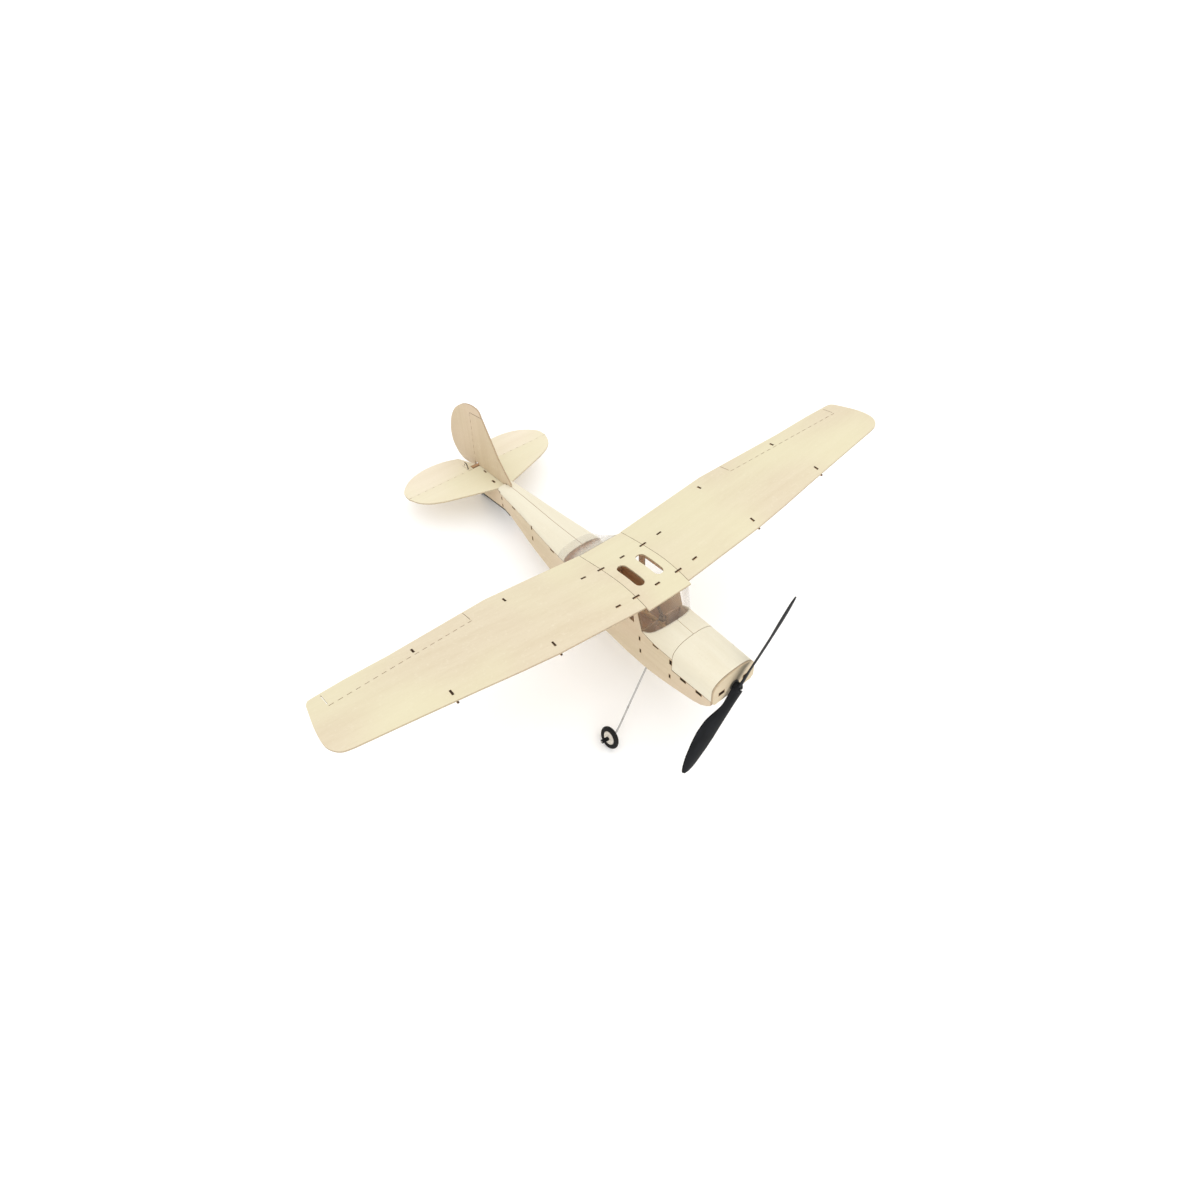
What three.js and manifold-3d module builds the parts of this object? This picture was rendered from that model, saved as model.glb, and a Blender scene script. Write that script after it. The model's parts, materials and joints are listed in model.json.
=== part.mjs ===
// A small rubber-powered cabin monoplane, laser-cut from thin balsa sheet: a high wing with
// dihedral, a slab-sided fuselage with bent sheet decks and film windows, a flat sheet tail,
// a wire undercarriage and a moulded two-blade propeller. Millimetres, +Z up, nose along -Y.
import * as THREE from "three";
import { mergeVertices } from "three/addons/utils/BufferGeometryUtils.js";
import Module from "manifold-3d";

const wasm = await Module();
wasm.setup();

// ---- Driving dimensions -------------------------------------------------------------------
// The airframe's zero is the wing's top surface over the front dihedral brace, on the
// centreline, with the wing's two braces level.

const SHEET = 1; // balsa sheet
const FILM = 0.4; // window film
const GAP = 0.3; // clearance between pieces that touch
const SEAM = GAP / 2; // each piece's share of that clearance

const HALF_SPAN = 190;
const PANEL_JOINT_X = 15.7; // where the centre panel meets the outer panels
const DIHEDRAL = THREE.MathUtils.degToRad(6.7);
const WING_NOSE_Y = -10.3;
const WING_TAIL_Y = 48.3;
const CROWN_Y = 14; // highest line of the bent wing sheet
const CROWN_Z = 1.4;
const NOSE_DROP = 3.8; // from the crown down to the leading edge
const TAIL_DROP = 3.6; // from the crown down to the trailing edge
const TAIL_BEND = 1.5; // how gently the sheet falls towards the trailing edge
const BRACE_YS = [0, 29.2];
const BRACE_HALF_LENGTH = 31;
const BRACE_DEPTH = 3.4;
const RIB_DEPTH = 3;
const TAB_WIDTH = 3.2;
const RIB_TAB_WIDTH = 2.8;
const JOINT_TAB_WIDTH = 4.6;
const TAB_REACH = 0.1; // how far a tab stands above the sheet
const TAB_ROOT = 1; // how far a tab is rooted in its own piece

const HALF_BODY = 15.7; // half width of the fuselage, outside the sheet
const NOSE_Y = -60;
const HATCH_Y = -29; // seam between the nose hatch and the cowl deck
const HATCH_LOW_Z = -34.6; // the hatch's lower edge
const SCREEN_BASE_Y = -5; // where the windscreen meets the sides
const SCREEN_BULGE = 11.7; // how far its base curves forward of that
const SCREEN_SWEEP = 2.6; // superellipse power of that curve
const DECK_BULGE = 2.45; // superellipse power of the front decks
const REAR_BULGE = 2.2;
const ARCH_Y = 66; // front of the rear decks
const TAIL_END_Y = 174;
const STAB_Z = -13; // top of the tailplane
const STAB_NOSE_Y = 144;
const ELEVATOR_HINGE_Y = 175.4;
const JOINER_HALF = 5.6; // half width of the elevator's notch where its joiner sits
const NOTCH_ROOT = [1.6, 179]; // the rudder's notch widens from here to the trailing edge
const NOTCH_MOUTH = [6.7, 192];
const FIN_HEEL_Z = -11.3; // the fin's lower edge behind the tailplane, clear of the elevator joiner
const RUDDER_HINGE = { top: [177.1, 27.3], bottom: [180.3, -14.6] };

const SHAFT_Z = -31.2;
const PROP_Y = -63;
const PROP_RADIUS = 56.8;
const PROP_PITCH = 88; // advance in one turn
const PROP_TURN = THREE.MathUtils.degToRad(41.6); // the parked blade's lean from upright
const HUB_RADIUS = 2.7;
const HUB_LENGTH = 4;
const SHAFT_RADIUS = 0.5;
const PEG_Y = 114;
const PEG_Z = -26.5;
const MOTOR_RADIUS = 2.1;

const WIRE_RADIUS = 0.6;
const WHEEL_RADIUS = 6.9;
const WHEEL_WIDTH = 2.9;
const RIM_RADIUS = 4.1;
const WHEEL_CENTRE = [50.5, -16, -78.5];
const CAMBER = THREE.MathUtils.degToRad(13); // the axle's outer end is the higher
const TREAD_RADIUS = 1.4; // the tyre's rounded crown, across its tread
const SKID_TIP = [173, -33.2]; // on the belly's line
const SKID_THICKNESS = 1;

// Tall enough to pass through any sheet of the wing.
const CUT_LOW_Z = -10;
const CUT_HIGH_Z = 40;

const FINISHES = {
  balsa: { color: 0xf0e4c8, roughness: 0.8, metalness: 0 },
  ply: { color: 0xc9a878, roughness: 0.75, metalness: 0 },
  film: { color: 0xe6e6e2, roughness: 0.2, metalness: 0, transparent: true, opacity: 0.4 },
  rubber: { color: 0x1b1b1c, roughness: 0.85, metalness: 0 },
  strand: { color: 0xb08a5a, roughness: 0.7, metalness: 0 },
  plastic: { color: 0x23262a, roughness: 0.45, metalness: 0 },
  nylon: { color: 0x55544f, roughness: 0.5, metalness: 0 },
  steel: { color: 0xa6a8aa, roughness: 0.35, metalness: 0.9 },
  brass: { color: 0xb5964f, roughness: 0.35, metalness: 0.9 },
  rim: { color: 0xcfc8bb, roughness: 0.6, metalness: 0 },
  carbon: { color: 0x1e2024, roughness: 0.5, metalness: 0 },
};

const MATERIALS = Object.fromEntries(
  Object.entries(FINISHES).map(([name, finish]) => [name, new THREE.MeshStandardMaterial(finish)]),
);

// ---- Geometry helpers ---------------------------------------------------------------------

// A closed three.js geometry as a solid, turned so that its faces point out.
function solidFrom(geometry) {
  const bare = new THREE.BufferGeometry();
  bare.setAttribute("position", geometry.getAttribute("position"));
  if (geometry.index) bare.setIndex(geometry.index);
  const merged = mergeVertices(bare, 1e-4);
  const vertProperties = new Float32Array(merged.attributes.position.array);
  const triVerts = new Uint32Array(merged.index.array);
  const build = () => new wasm.Manifold(new wasm.Mesh({ numProp: 3, vertProperties, triVerts }));
  const solid = build();
  if (solid.volume() > 0) return solid;
  for (let i = 0; i < triVerts.length; i += 3) {
    [triVerts[i + 1], triVerts[i + 2]] = [triVerts[i + 2], triVerts[i + 1]];
  }
  return build();
}

function union(solids) {
  return solids.reduce((whole, solid) => whole.add(solid));
}

function cut(solid, tools) {
  return tools.reduce((left, tool) => left.subtract(tool), solid);
}

// The mirror image of a solid in the centreline plane.
function mirrored(solid) {
  return solid.mirror([1, 0, 0]);
}

function meshOf(name, solid, material) {
  const { numProp, vertProperties, triVerts } = solid.getMesh();
  const positions = [];
  for (const vertex of triVerts) {
    positions.push(...vertProperties.subarray(vertex * numProp, vertex * numProp + 3));
  }
  const geometry = new THREE.BufferGeometry();
  geometry.setAttribute("position", new THREE.Float32BufferAttribute(positions, 3));
  geometry.computeVertexNormals();
  const mesh = new THREE.Mesh(geometry, material);
  mesh.name = name;
  return mesh;
}

// An outline extruded along one axis. The outline's pairs are (x, y) for z, (y, z) for x and
// (x, z) for y.
function plate(outline, axis, from, to) {
  const shape = new THREE.Shape(outline.map(([a, b]) => new THREE.Vector2(a, b)));
  const geometry = new THREE.ExtrudeGeometry(shape, { depth: to - from, bevelEnabled: false });
  const turns = {
    x: [0, 0, 1, from, 1, 0, 0, 0, 0, 1, 0, 0],
    y: [1, 0, 0, 0, 0, 0, -1, to, 0, 1, 0, 0],
    z: [1, 0, 0, 0, 0, 1, 0, 0, 0, 0, 1, from],
  };
  geometry.applyMatrix4(new THREE.Matrix4().set(...turns[axis], 0, 0, 0, 1));
  return solidFrom(geometry);
}

function box(low, high) {
  const outline = [
    [low[0], low[1]],
    [high[0], low[1]],
    [high[0], high[1]],
    [low[0], high[1]],
  ];
  return plate(outline, "z", low[2], high[2]);
}

// A closed sheet between two surfaces, each given as rows of points.
function sheet(outerRows, innerRows) {
  const rows = outerRows.length;
  const columns = outerRows[0].length;
  const positions = [...outerRows, ...innerRows].flat(2);
  const outer = (i, j) => i * columns + j;
  const inner = (i, j) => (rows + i) * columns + j;
  const index = [];
  const quad = (a, b, c, d) => index.push(a, b, c, a, c, d);
  for (let i = 0; i < rows - 1; i++) {
    for (let j = 0; j < columns - 1; j++) {
      quad(outer(i, j), outer(i + 1, j), outer(i + 1, j + 1), outer(i, j + 1));
      quad(inner(i, j), inner(i, j + 1), inner(i + 1, j + 1), inner(i + 1, j));
    }
    quad(outer(i, 0), inner(i, 0), inner(i + 1, 0), outer(i + 1, 0));
    const last = columns - 1;
    quad(outer(i + 1, last), inner(i + 1, last), inner(i, last), outer(i, last));
  }
  for (let j = 0; j < columns - 1; j++) {
    quad(outer(0, j + 1), inner(0, j + 1), inner(0, j), outer(0, j));
    const last = rows - 1;
    quad(outer(last, j), inner(last, j), inner(last, j + 1), outer(last, j + 1));
  }
  const geometry = new THREE.BufferGeometry();
  geometry.setAttribute("position", new THREE.Float32BufferAttribute(positions, 3));
  geometry.setIndex(index);
  return solidFrom(geometry);
}

// A round rod through the given points, bent smoothly at each.
function rod(points, radius, { sides = 8, steps = 12, curved = true } = {}) {
  const corners = range(0, 2 * Math.PI, sides).slice(1);
  const circle = corners.map((a) => new THREE.Vector2(radius * Math.cos(a), radius * Math.sin(a)));
  const vectors = points.map((point) => new THREE.Vector3(...point));
  const path = curved
    ? new THREE.CatmullRomCurve3(vectors, false, "centripetal")
    : new THREE.LineCurve3(vectors[0], vectors[1]);
  const options = { extrudePath: path, steps: curved ? steps : 1 };
  return solidFrom(new THREE.ExtrudeGeometry(new THREE.Shape(circle), options));
}

// A solid of revolution about an axle: the profile's pairs are (radius, distance along it).
function turned(profile, centre, direction, segments) {
  const outline = profile.map(([radius, along]) => new THREE.Vector2(radius, along));
  const geometry = new THREE.LatheGeometry(outline, segments);
  const up = new THREE.Vector3(0, 1, 0);
  const turn = new THREE.Quaternion().setFromUnitVectors(up, new THREE.Vector3(...direction));
  geometry.applyQuaternion(turn);
  geometry.translate(...centre);
  return solidFrom(geometry);
}

// A solid disc's profile for turned().
function disc(radius, from, to) {
  return [[0, from], [radius, from], [radius, to], [0, to]];
}

// A ring's closed profile for turned().
function ring(innerRadius, outerRadius, from, to) {
  return [
    [innerRadius, from],
    [outerRadius, from],
    [outerRadius, to],
    [innerRadius, to],
    [innerRadius, from],
  ];
}

// Straight-line interpolation through (position, value) pairs.
function profile(pairs) {
  return (at) => {
    const next = pairs.findIndex(([position]) => position >= at);
    if (next === 0) return pairs[0][1];
    if (next < 0) return pairs[pairs.length - 1][1];
    const [[a, from], [b, to]] = [pairs[next - 1], pairs[next]];
    return from + ((to - from) * (at - a)) / (b - a);
  };
}

// A smooth curve through flat points, as a list of points.
function smooth(points, count) {
  return new THREE.SplineCurve(points.map(([a, b]) => new THREE.Vector2(a, b)))
    .getPoints(count)
    .map(({ x, y }) => [x, y]);
}

function range(from, to, steps) {
  return Array.from({ length: steps + 1 }, (_, i) => from + ((to - from) * i) / steps);
}

// A point on a superellipse's upper half: theta 0 is its +X end, and half a turn is its -X end.
function arc(theta, power) {
  const bend = (value) => Math.sign(value) * Math.abs(value) ** (2 / power);
  return [bend(Math.cos(theta)), bend(Math.max(0, Math.sin(theta)))];
}

const ARC_STEPS = 14;
const ARC_ANGLES = range(0, Math.PI, ARC_STEPS);

// ---- Fuselage lines -----------------------------------------------------------------------

const halfWidth = profile([
  [52, HALF_BODY],
  [60, 15.1],
  [80, 13.4],
  [100, 11.1],
  [120, 8.6],
  [140, 6.8],
  [TAIL_END_Y, 3.7],
]);
const creaseZ = profile([
  [NOSE_Y, -27.8],
  [HATCH_Y, -26.3],
  [-15, -25.8],
  [SCREEN_BASE_Y, -23.2],
  [52, -19.1],
  [80, -18.7],
  [100, -17.6],
  [120, -16.4],
  [STAB_NOSE_Y, -15.2],
]);
const crownZ = profile([
  [NOSE_Y, -20.2],
  [HATCH_Y, -16.9],
  [-15, -15.6],
  [ARCH_Y, -13.4],
  [95, -13],
  [110, -12],
  [128, -11],
  [STAB_NOSE_Y, -10.9],
]);
const BELLY = [
  [NOSE_Y, -36.8],
  [-56, -40.6],
  [-51.7, -43.4],
  [-46.7, -45.1],
  [-36.4, -47.1],
  [-22, -49.4],
  [-8.7, -50.6],
  [8, -49.8],
  [27, -47.3],
  [55, -43],
  [85, -38.1],
  [109.5, -33.7],
  [123, -29.6],
  [133, -26.3],
  [139, -25.6],
  [TAIL_END_Y - 3, -31],
];
const bellyZ = profile(BELLY);
const BELOW_BELLY_Z = -60;

// Room inside the sides, on the bottom sheet and under the decks.
const inside = (y) => halfWidth(y) - SHEET - GAP;
const onFloor = (y) => bellyZ(y) + SHEET + GAP;
const underDeck = (y) => crownZ(y) - SHEET - GAP;

// The rubber skein runs straight from the propeller's hook to the rear peg.
function motorZ(y) {
  return SHAFT_Z + ((PEG_Z - SHAFT_Z) * (y - PROP_Y)) / (PEG_Y - PROP_Y);
}

// ---- Wing ---------------------------------------------------------------------------------

function camber(y) {
  if (y < CROWN_Y) return CROWN_Z - NOSE_DROP * ((CROWN_Y - y) / (CROWN_Y - WING_NOSE_Y)) ** 2;
  return CROWN_Z - TAIL_DROP * ((y - CROWN_Y) / (WING_TAIL_Y - CROWN_Y)) ** TAIL_BEND;
}

function wingTop(x, y) {
  return camber(y) + Math.max(0, Math.abs(x) - PANEL_JOINT_X) * Math.tan(DIHEDRAL);
}

// A strip of bent wing sheet between two stations, wide enough for any outline.
function bentSheet(fromX, toX) {
  const ys = range(WING_NOSE_Y - 1, WING_TAIL_Y + 1, 16);
  const surface = (depth) => [fromX, toX].map((x) => ys.map((y) => [x, y, wingTop(x, y) - depth]));
  return sheet(surface(0), surface(SHEET));
}

// Half of the outer wing's plan, for x above zero.
function outerPanelPlan() {
  const root = PANEL_JOINT_X + SEAM;
  return [
    [root, -8],
    [73, -8],
    [95, -7],
    [118.5, -5.4],
    [163, -2.9],
    ...smooth([[180, -2], [185.4, -1], [188.6, 2], [HALF_SPAN, 6.5], [189.3, 16], [187, 28]], 18),
    ...smooth([[186.2, 32], [184.5, 34.6], [181, 35.4]], 4),
    [166, 37.6],
    [141, 39.9],
    [94.5, 46.5],
    [80, 48.5],
    [root, 48.7],
  ];
}

// The laser's dashed cuts along a line: narrow slots through the sheet.
function perforations(from, to, pitch) {
  const DASH = 2.6;
  const KERF = 0.35;
  const length = Math.hypot(to[0] - from[0], to[1] - from[1]);
  const [dx, dy] = [(to[0] - from[0]) / length, (to[1] - from[1]) / length];
  return range(0, length - DASH, Math.round(length / pitch)).map((start) => {
    const corner = (along, across) => [
      from[0] + dx * along - dy * across,
      from[1] + dy * along + dx * across,
    ];
    const ends = [start, start + DASH];
    const outline = [
      corner(ends[0], -KERF / 2),
      corner(ends[1], -KERF / 2),
      corner(ends[1], KERF / 2),
      corner(ends[0], KERF / 2),
    ];
    return plate(outline, "z", CUT_LOW_Z, CUT_HIGH_Z);
  });
}

// The places where a tab comes up through the wing: centre, length along x and along y.
const BRACE_TABS = [
  { x: 0, width: TAB_WIDTH },
  { x: 15.7, width: JOINT_TAB_WIDTH },
  { x: 28.3, width: TAB_WIDTH },
];
const RIBS = [
  { name: "inner", x: 72.7, noseY: -8.3, tailY: 46, tabs: [-2.1, 40.9] },
  { name: "outer", x: 130.5, noseY: -5.2, tailY: 39.2, tabs: [0, 35.1] },
];

// A slot that a tab fits with clearance all round.
function tabSlot(x, y, alongX, alongY) {
  const reach = [alongX / 2 + SEAM, alongY / 2 + SEAM];
  const low = [x - reach[0], y - reach[1], CUT_LOW_Z];
  return box(low, [x + reach[0], y + reach[1], CUT_HIGH_Z]);
}

function braceSlots() {
  return BRACE_YS.flatMap((y) =>
    BRACE_TABS.flatMap(({ x, width }) => [
      tabSlot(x, y, width, SHEET),
      tabSlot(-x, y, width, SHEET),
    ]),
  );
}

function makeWingPanel() {
  const panel = bentSheet(PANEL_JOINT_X + SEAM, HALF_SPAN + 1);
  const plan = plate(outerPanelPlan(), "z", CUT_LOW_Z, CUT_HIGH_Z);
  const ribSlots = RIBS.flatMap(({ x, tabs }) =>
    tabs.map((y) => tabSlot(x, y, SHEET, RIB_TAB_WIDTH)),
  );
  const hinge = [[95.6, 36.8], [178.2, 25.5]];
  const dashes = [
    ...perforations(hinge[0], hinge[1], 5),
    ...perforations([hinge[0][0], 38.2], [hinge[0][0], 45.6], 4.5),
    ...perforations([hinge[1][0], 27], [hinge[1][0], 34.2], 4.5),
  ];
  return cut(panel.intersect(plan), [...braceSlots(), ...ribSlots, ...dashes]);
}

function makeCentrePanel() {
  const edge = PANEL_JOINT_X - SEAM;
  const plan = box([-edge, WING_NOSE_Y, CUT_LOW_Z], [edge, WING_TAIL_Y, CUT_HIGH_Z]);
  // A long hole with round ends, beside the centreline.
  const capsule = (x) => {
    const [front, back, radius] = [7.2, 21.2, 3.1];
    const around = (y, turn) =>
      range(0, Math.PI, 8).map((a) => [
        x + radius * Math.cos(a + turn),
        y + radius * Math.sin(a + turn),
      ]);
    const outline = [...around(back, 0), ...around(front, Math.PI)];
    return plate(outline, "z", CUT_LOW_Z, CUT_HIGH_Z);
  };
  const strip = bentSheet(-edge, edge).intersect(plan);
  return cut(strip, [...braceSlots(), capsule(-7), capsule(7)]);
}

// A dihedral brace under the wing, with tabs that come up through the sheets.
function makeBrace(y) {
  const top = (x) => wingTop(x, y) - SHEET - GAP;
  const xs = [-BRACE_HALF_LENGTH, -PANEL_JOINT_X, PANEL_JOINT_X, BRACE_HALF_LENGTH];
  const upper = xs.map((x) => [x, top(x)]);
  const lower = xs.map((x) => [x, top(x) - BRACE_DEPTH]).reverse();
  const span = [y - SHEET / 2, y + SHEET / 2];
  const bar = plate([...upper, ...lower], "y", ...span);
  const tab = (x, width) => {
    const [a, b] = [x - width / 2, x + width / 2];
    const root = top(x) - TAB_ROOT;
    const head = [[b, wingTop(b, y) + TAB_REACH], [a, wingTop(a, y) + TAB_REACH]];
    return plate([[a, root], [b, root], ...head], "y", ...span);
  };
  const tabs = BRACE_TABS.flatMap(({ x, width }) => [tab(x, width), tab(-x, width)]);
  return union([bar, ...tabs]);
}

// A rib under the outer panel. The sheet above climbs outwards, so the rib sits lower by the
// rise over half its thickness to keep its clearance.
function makeRib({ x, noseY, tailY, tabs }) {
  const rise = (SHEET / 2) * Math.tan(DIHEDRAL);
  const ys = range(noseY, tailY, 12);
  const top = (y) => wingTop(x, y) - SHEET - GAP - rise;
  // The depth tapers off towards both ends.
  const depth = (y) => RIB_DEPTH * Math.min(1, 0.35 + (tailY - y) / 20, 0.25 + (y - noseY) / 12);
  const upper = ys.map((y) => [y, top(y)]);
  const lower = ys.map((y) => [y, top(y) - depth(y)]).reverse();
  const span = [x - SHEET / 2, x + SHEET / 2];
  const tab = (y) => {
    const [a, b] = [y - RIB_TAB_WIDTH / 2, y + RIB_TAB_WIDTH / 2];
    const [root, head] = [top(y) - TAB_ROOT, wingTop(x, y) + TAB_REACH];
    return plate([[a, root], [b, root], [b, head], [a, head]], "x", ...span);
  };
  return union([plate([...upper, ...lower], "x", ...span), ...tabs.map(tab)]);
}

// ---- Fuselage -----------------------------------------------------------------------------

// The fuselage sides in outline, before the windows are cut.
function sideOutline() {
  const wingYs = range(WING_TAIL_Y - 0.3, 1.4, 10);
  const deckYs = [STAB_NOSE_Y - 0.8, 120, 100, 80, WING_TAIL_Y + 0.4];
  return [
    ...BELLY.slice(1),
    [TAIL_END_Y, STAB_Z - SHEET - GAP],
    [STAB_NOSE_Y, STAB_Z - SHEET - GAP],
    ...deckYs.map((y) => [y, creaseZ(y) - SEAM]),
    ...wingYs.map((y) => [y, camber(y) - SHEET - GAP]),
    [-1.1, -11.5],
    [SCREEN_BASE_Y + 0.4, creaseZ(SCREEN_BASE_Y) - SEAM],
    [-15, creaseZ(-15) - SEAM],
    [HATCH_Y + SEAM, creaseZ(HATCH_Y) - SEAM],
    [HATCH_Y + SEAM, HATCH_LOW_Z - SEAM - 0.4],
    [NOSE_Y + SHEET + GAP, HATCH_LOW_Z - SEAM],
    [NOSE_Y + SHEET + GAP, bellyZ(NOSE_Y + SHEET + GAP)],
  ];
}

// The openings ahead of and behind the post under the rear dihedral brace.
const WINDOWS = [
  [[1.6, -20.8], [27, -19.5], [27, -7.2], [3, -7]],
  [[31.5, -19.2], [44, -18.4], [44, -7.6], [31.5, -7.3]],
];

function makeSide(gearWire) {
  const ys = [NOSE_Y, 52, 60, 80, 100, 120, 140, TAIL_END_Y];
  const surface = (inset) =>
    ys.map((y) => [BELOW_BELLY_Z, 0].map((z) => [halfWidth(y) - inset, y, z]));
  const bent = sheet(surface(0), surface(SHEET));
  const outline = plate(sideOutline(), "x", 0, HALF_BODY + 1);
  const windows = WINDOWS.map((corners) => plate(corners, "x", 0, HALF_BODY + 1));
  const notches = BRACE_YS.map((y) => {
    const reach = SHEET / 2 + GAP;
    const floor = camber(y) - SHEET - BRACE_DEPTH - 2 * GAP;
    return box([0, y - reach, floor], [HALF_BODY + 1, y + reach, CUT_HIGH_Z]);
  });
  return cut(bent.intersect(outline), [...windows, ...notches, gearWire]);
}

function makeBottom(gearWires) {
  const ys = BELLY.map(([y]) => Math.max(y, NOSE_Y + SHEET + GAP));
  const rows = (lift) => ys.map((y) => [-inside(y), inside(y)].map((x) => [x, y, bellyZ(y) + lift]));
  return cut(sheet(rows(0), rows(SHEET)), gearWires);
}

// A deck of bent sheet between two y stations. Its rear edge may follow the windscreen's base.
function makeDeck({ fromY, toY, bulge, power, steps, sideGap }) {
  const surface = (inset) =>
    range(0, 1, steps).map((u) =>
      ARC_ANGLES.map((theta) => {
        const [across, up] = arc(theta, power);
        const y = THREE.MathUtils.lerp(fromY, toY - bulge * arc(theta, SCREEN_SWEEP)[1], u);
        const base = creaseZ(y) + SEAM;
        return [across * (halfWidth(y) - inset), y, base + up * (crownZ(y) - inset - base)];
      }),
    );
  const deck = sheet(surface(0), surface(SHEET));
  const half = box([sideGap, fromY - 1, -40], [HALF_BODY + 1, toY + 1, 0]);
  return deck.intersect(half);
}

function makeHatch() {
  const skirt = range(HATCH_LOW_Z + SEAM, creaseZ(NOSE_Y) - 0.8, 2);
  const row = (y, inset) => {
    const half = HALF_BODY - inset;
    const arch = ARC_ANGLES.map((theta) => {
      const [across, up] = arc(theta, DECK_BULGE);
      return [across * half, y, creaseZ(y) + up * (crownZ(y) - inset - creaseZ(y))];
    });
    const right = skirt.map((z) => [half, y, z]);
    const left = skirt.map((z) => [-half, y, z]).reverse();
    return [...right, ...arch, ...left];
  };
  const ys = range(NOSE_Y + SHEET + GAP, HATCH_Y - SEAM, 4);
  return sheet(ys.map((y) => row(y, 0)), ys.map((y) => row(y, SHEET)));
}

// A cross-frame: an arched top on straight sides, with a round hole for the rubber motor.
function makeFormer({ y, half, lowZ, baseZ, topZ, power, holeRadius, thickness = SHEET }) {
  const arch = ARC_ANGLES.map((theta) => {
    const [across, up] = arc(theta, power);
    return [across * half, baseZ + up * (topZ - baseZ)];
  });
  const CHAMFER = 2;
  const foot = [
    [-half, lowZ + CHAMFER],
    [-half + CHAMFER, lowZ],
    [half - CHAMFER, lowZ],
    [half, lowZ + CHAMFER],
  ];
  const former = plate([...arch, ...foot], "y", y - thickness / 2, y + thickness / 2);
  if (!holeRadius) return former;
  const centre = [0, y - thickness, motorZ(y)];
  const drill = turned(disc(holeRadius, 0, 2 * thickness), centre, [0, 1, 0], 16);
  return former.subtract(drill);
}

// The film between the cowl deck and the wing's leading edge, bowed forward.
function makeWindscreen() {
  const TOP_POWER = 10;
  const TOP_Y = -1;
  const TOP_BULGE = 8.8;
  const half = HALF_BODY + 0.2;
  const surface = (inset) => {
    const base = ARC_ANGLES.map((theta) => {
      const [across, up] = arc(theta, DECK_BULGE);
      const y = SCREEN_BASE_Y - 0.4 - (SCREEN_BULGE - inset) * arc(theta, SCREEN_SWEEP)[1];
      const z = creaseZ(y) + up * (crownZ(y) - creaseZ(y)) + SEAM + GAP;
      return [across * (half - inset), y, z];
    });
    const top = ARC_ANGLES.map((theta) => {
      const [across, up] = arc(theta, TOP_POWER);
      const y = TOP_Y - (TOP_BULGE - inset) * up;
      return [across * (half - inset), y, camber(y) - SHEET - GAP];
    });
    return [base, top];
  };
  return sheet(surface(0), surface(FILM));
}

// The film hood from the wing's trailing edge to the rear decks, which it laps over.
function makeRearWindow() {
  const LAP_Y = ARCH_Y + 5.5;
  const CLEAR = FILM + GAP; // from the decks up to the hood's outer face
  const stations = [
    { y: WING_TAIL_Y + 0.5, half: HALF_BODY - 0.1, topZ: camber(WING_TAIL_Y) - 0.2, power: 9 },
    { y: 57, half: 15.6, topZ: -6.4, power: 4.5 },
    { y: ARCH_Y - 1, half: halfWidth(ARCH_Y) + CLEAR, topZ: -11.5, power: 4 },
    { y: LAP_Y, half: halfWidth(LAP_Y) + CLEAR, topZ: crownZ(LAP_Y) + CLEAR, power: REAR_BULGE },
  ];
  const surface = (inset) =>
    stations.map(({ y, half, topZ, power }) =>
      ARC_ANGLES.map((theta) => {
        const [across, up] = arc(theta, power);
        const base = creaseZ(y) + SEAM;
        return [across * (half - inset), y, base + up * (topZ - inset - base)];
      }),
    );
  return sheet(surface(0), surface(FILM));
}

// One sheet of film inside the fuselage side, behind both of its windows.
function makeSideWindow() {
  const outer = HALF_BODY - SHEET - GAP;
  const outline = [[1, -22], [45, -19], [45, -6.6], [1, -6.2]];
  return plate(outline, "x", outer - FILM, outer);
}

function makeCabinBrace() {
  const bar = rod([[0, 8, -3.4], [0, -4.4, -22]], 0.9, { curved: false });
  const pad = turned(disc(2.3, 0, 1.6), [0, -4.8, -23.9], [0, 0, 1], 14);
  return union([bar, pad]);
}

function makeGearBlock(gearWires) {
  const block = box([-13.6, -13.6, -49], [13.6, -4.3, -44.6]);
  const belly = box([-HALF_BODY, -HALF_BODY, BELOW_BELLY_Z], [HALF_BODY, 0, onFloor(-8.7)]);
  return cut(block, [belly, ...gearWires]);
}

// ---- Tail ---------------------------------------------------------------------------------

const TAIL_TIP = [55.4, ELEVATOR_HINGE_Y];

function stabilizerOutline(shift = 0) {
  const half = [
    [0, STAB_NOSE_Y],
    ...smooth([[37, 156.7], [46, 161.2], [52.2, 167.3], TAIL_TIP], 10),
  ];
  const back = ELEVATOR_HINGE_Y - SEAM;
  const trimmed = half.map(([x, y]) => [x, Math.min(y, back) + shift]);
  const mirror = trimmed.slice(1).map(([x, y]) => [-x, y]).reverse();
  return [...trimmed, ...mirror];
}

function makeStabilizer() {
  return plate(stabilizerOutline(), "z", STAB_Z - SHEET, STAB_Z);
}

function makeElevatorHalf() {
  const front = ELEVATOR_HINGE_Y + SEAM;
  const edge = [
    [TAIL_TIP[0], front],
    [54.6, 183],
    [48.4, 190.2],
    [40, 194.9],
    [29, 197],
    [16.7, 195.8],
    NOTCH_MOUTH,
  ];
  const notch = [NOTCH_ROOT, [JOINER_HALF, NOTCH_ROOT[1]], [JOINER_HALF, front]];
  return plate([...smooth(edge, 18), ...notch], "z", STAB_Z - SHEET, STAB_Z);
}

function makeElevatorJoiner() {
  const half = JOINER_HALF - GAP;
  const front = ELEVATOR_HINGE_Y + 1;
  return box([-half, front, STAB_Z - SHEET], [half, NOTCH_ROOT[1] - GAP, STAB_Z]);
}

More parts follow.
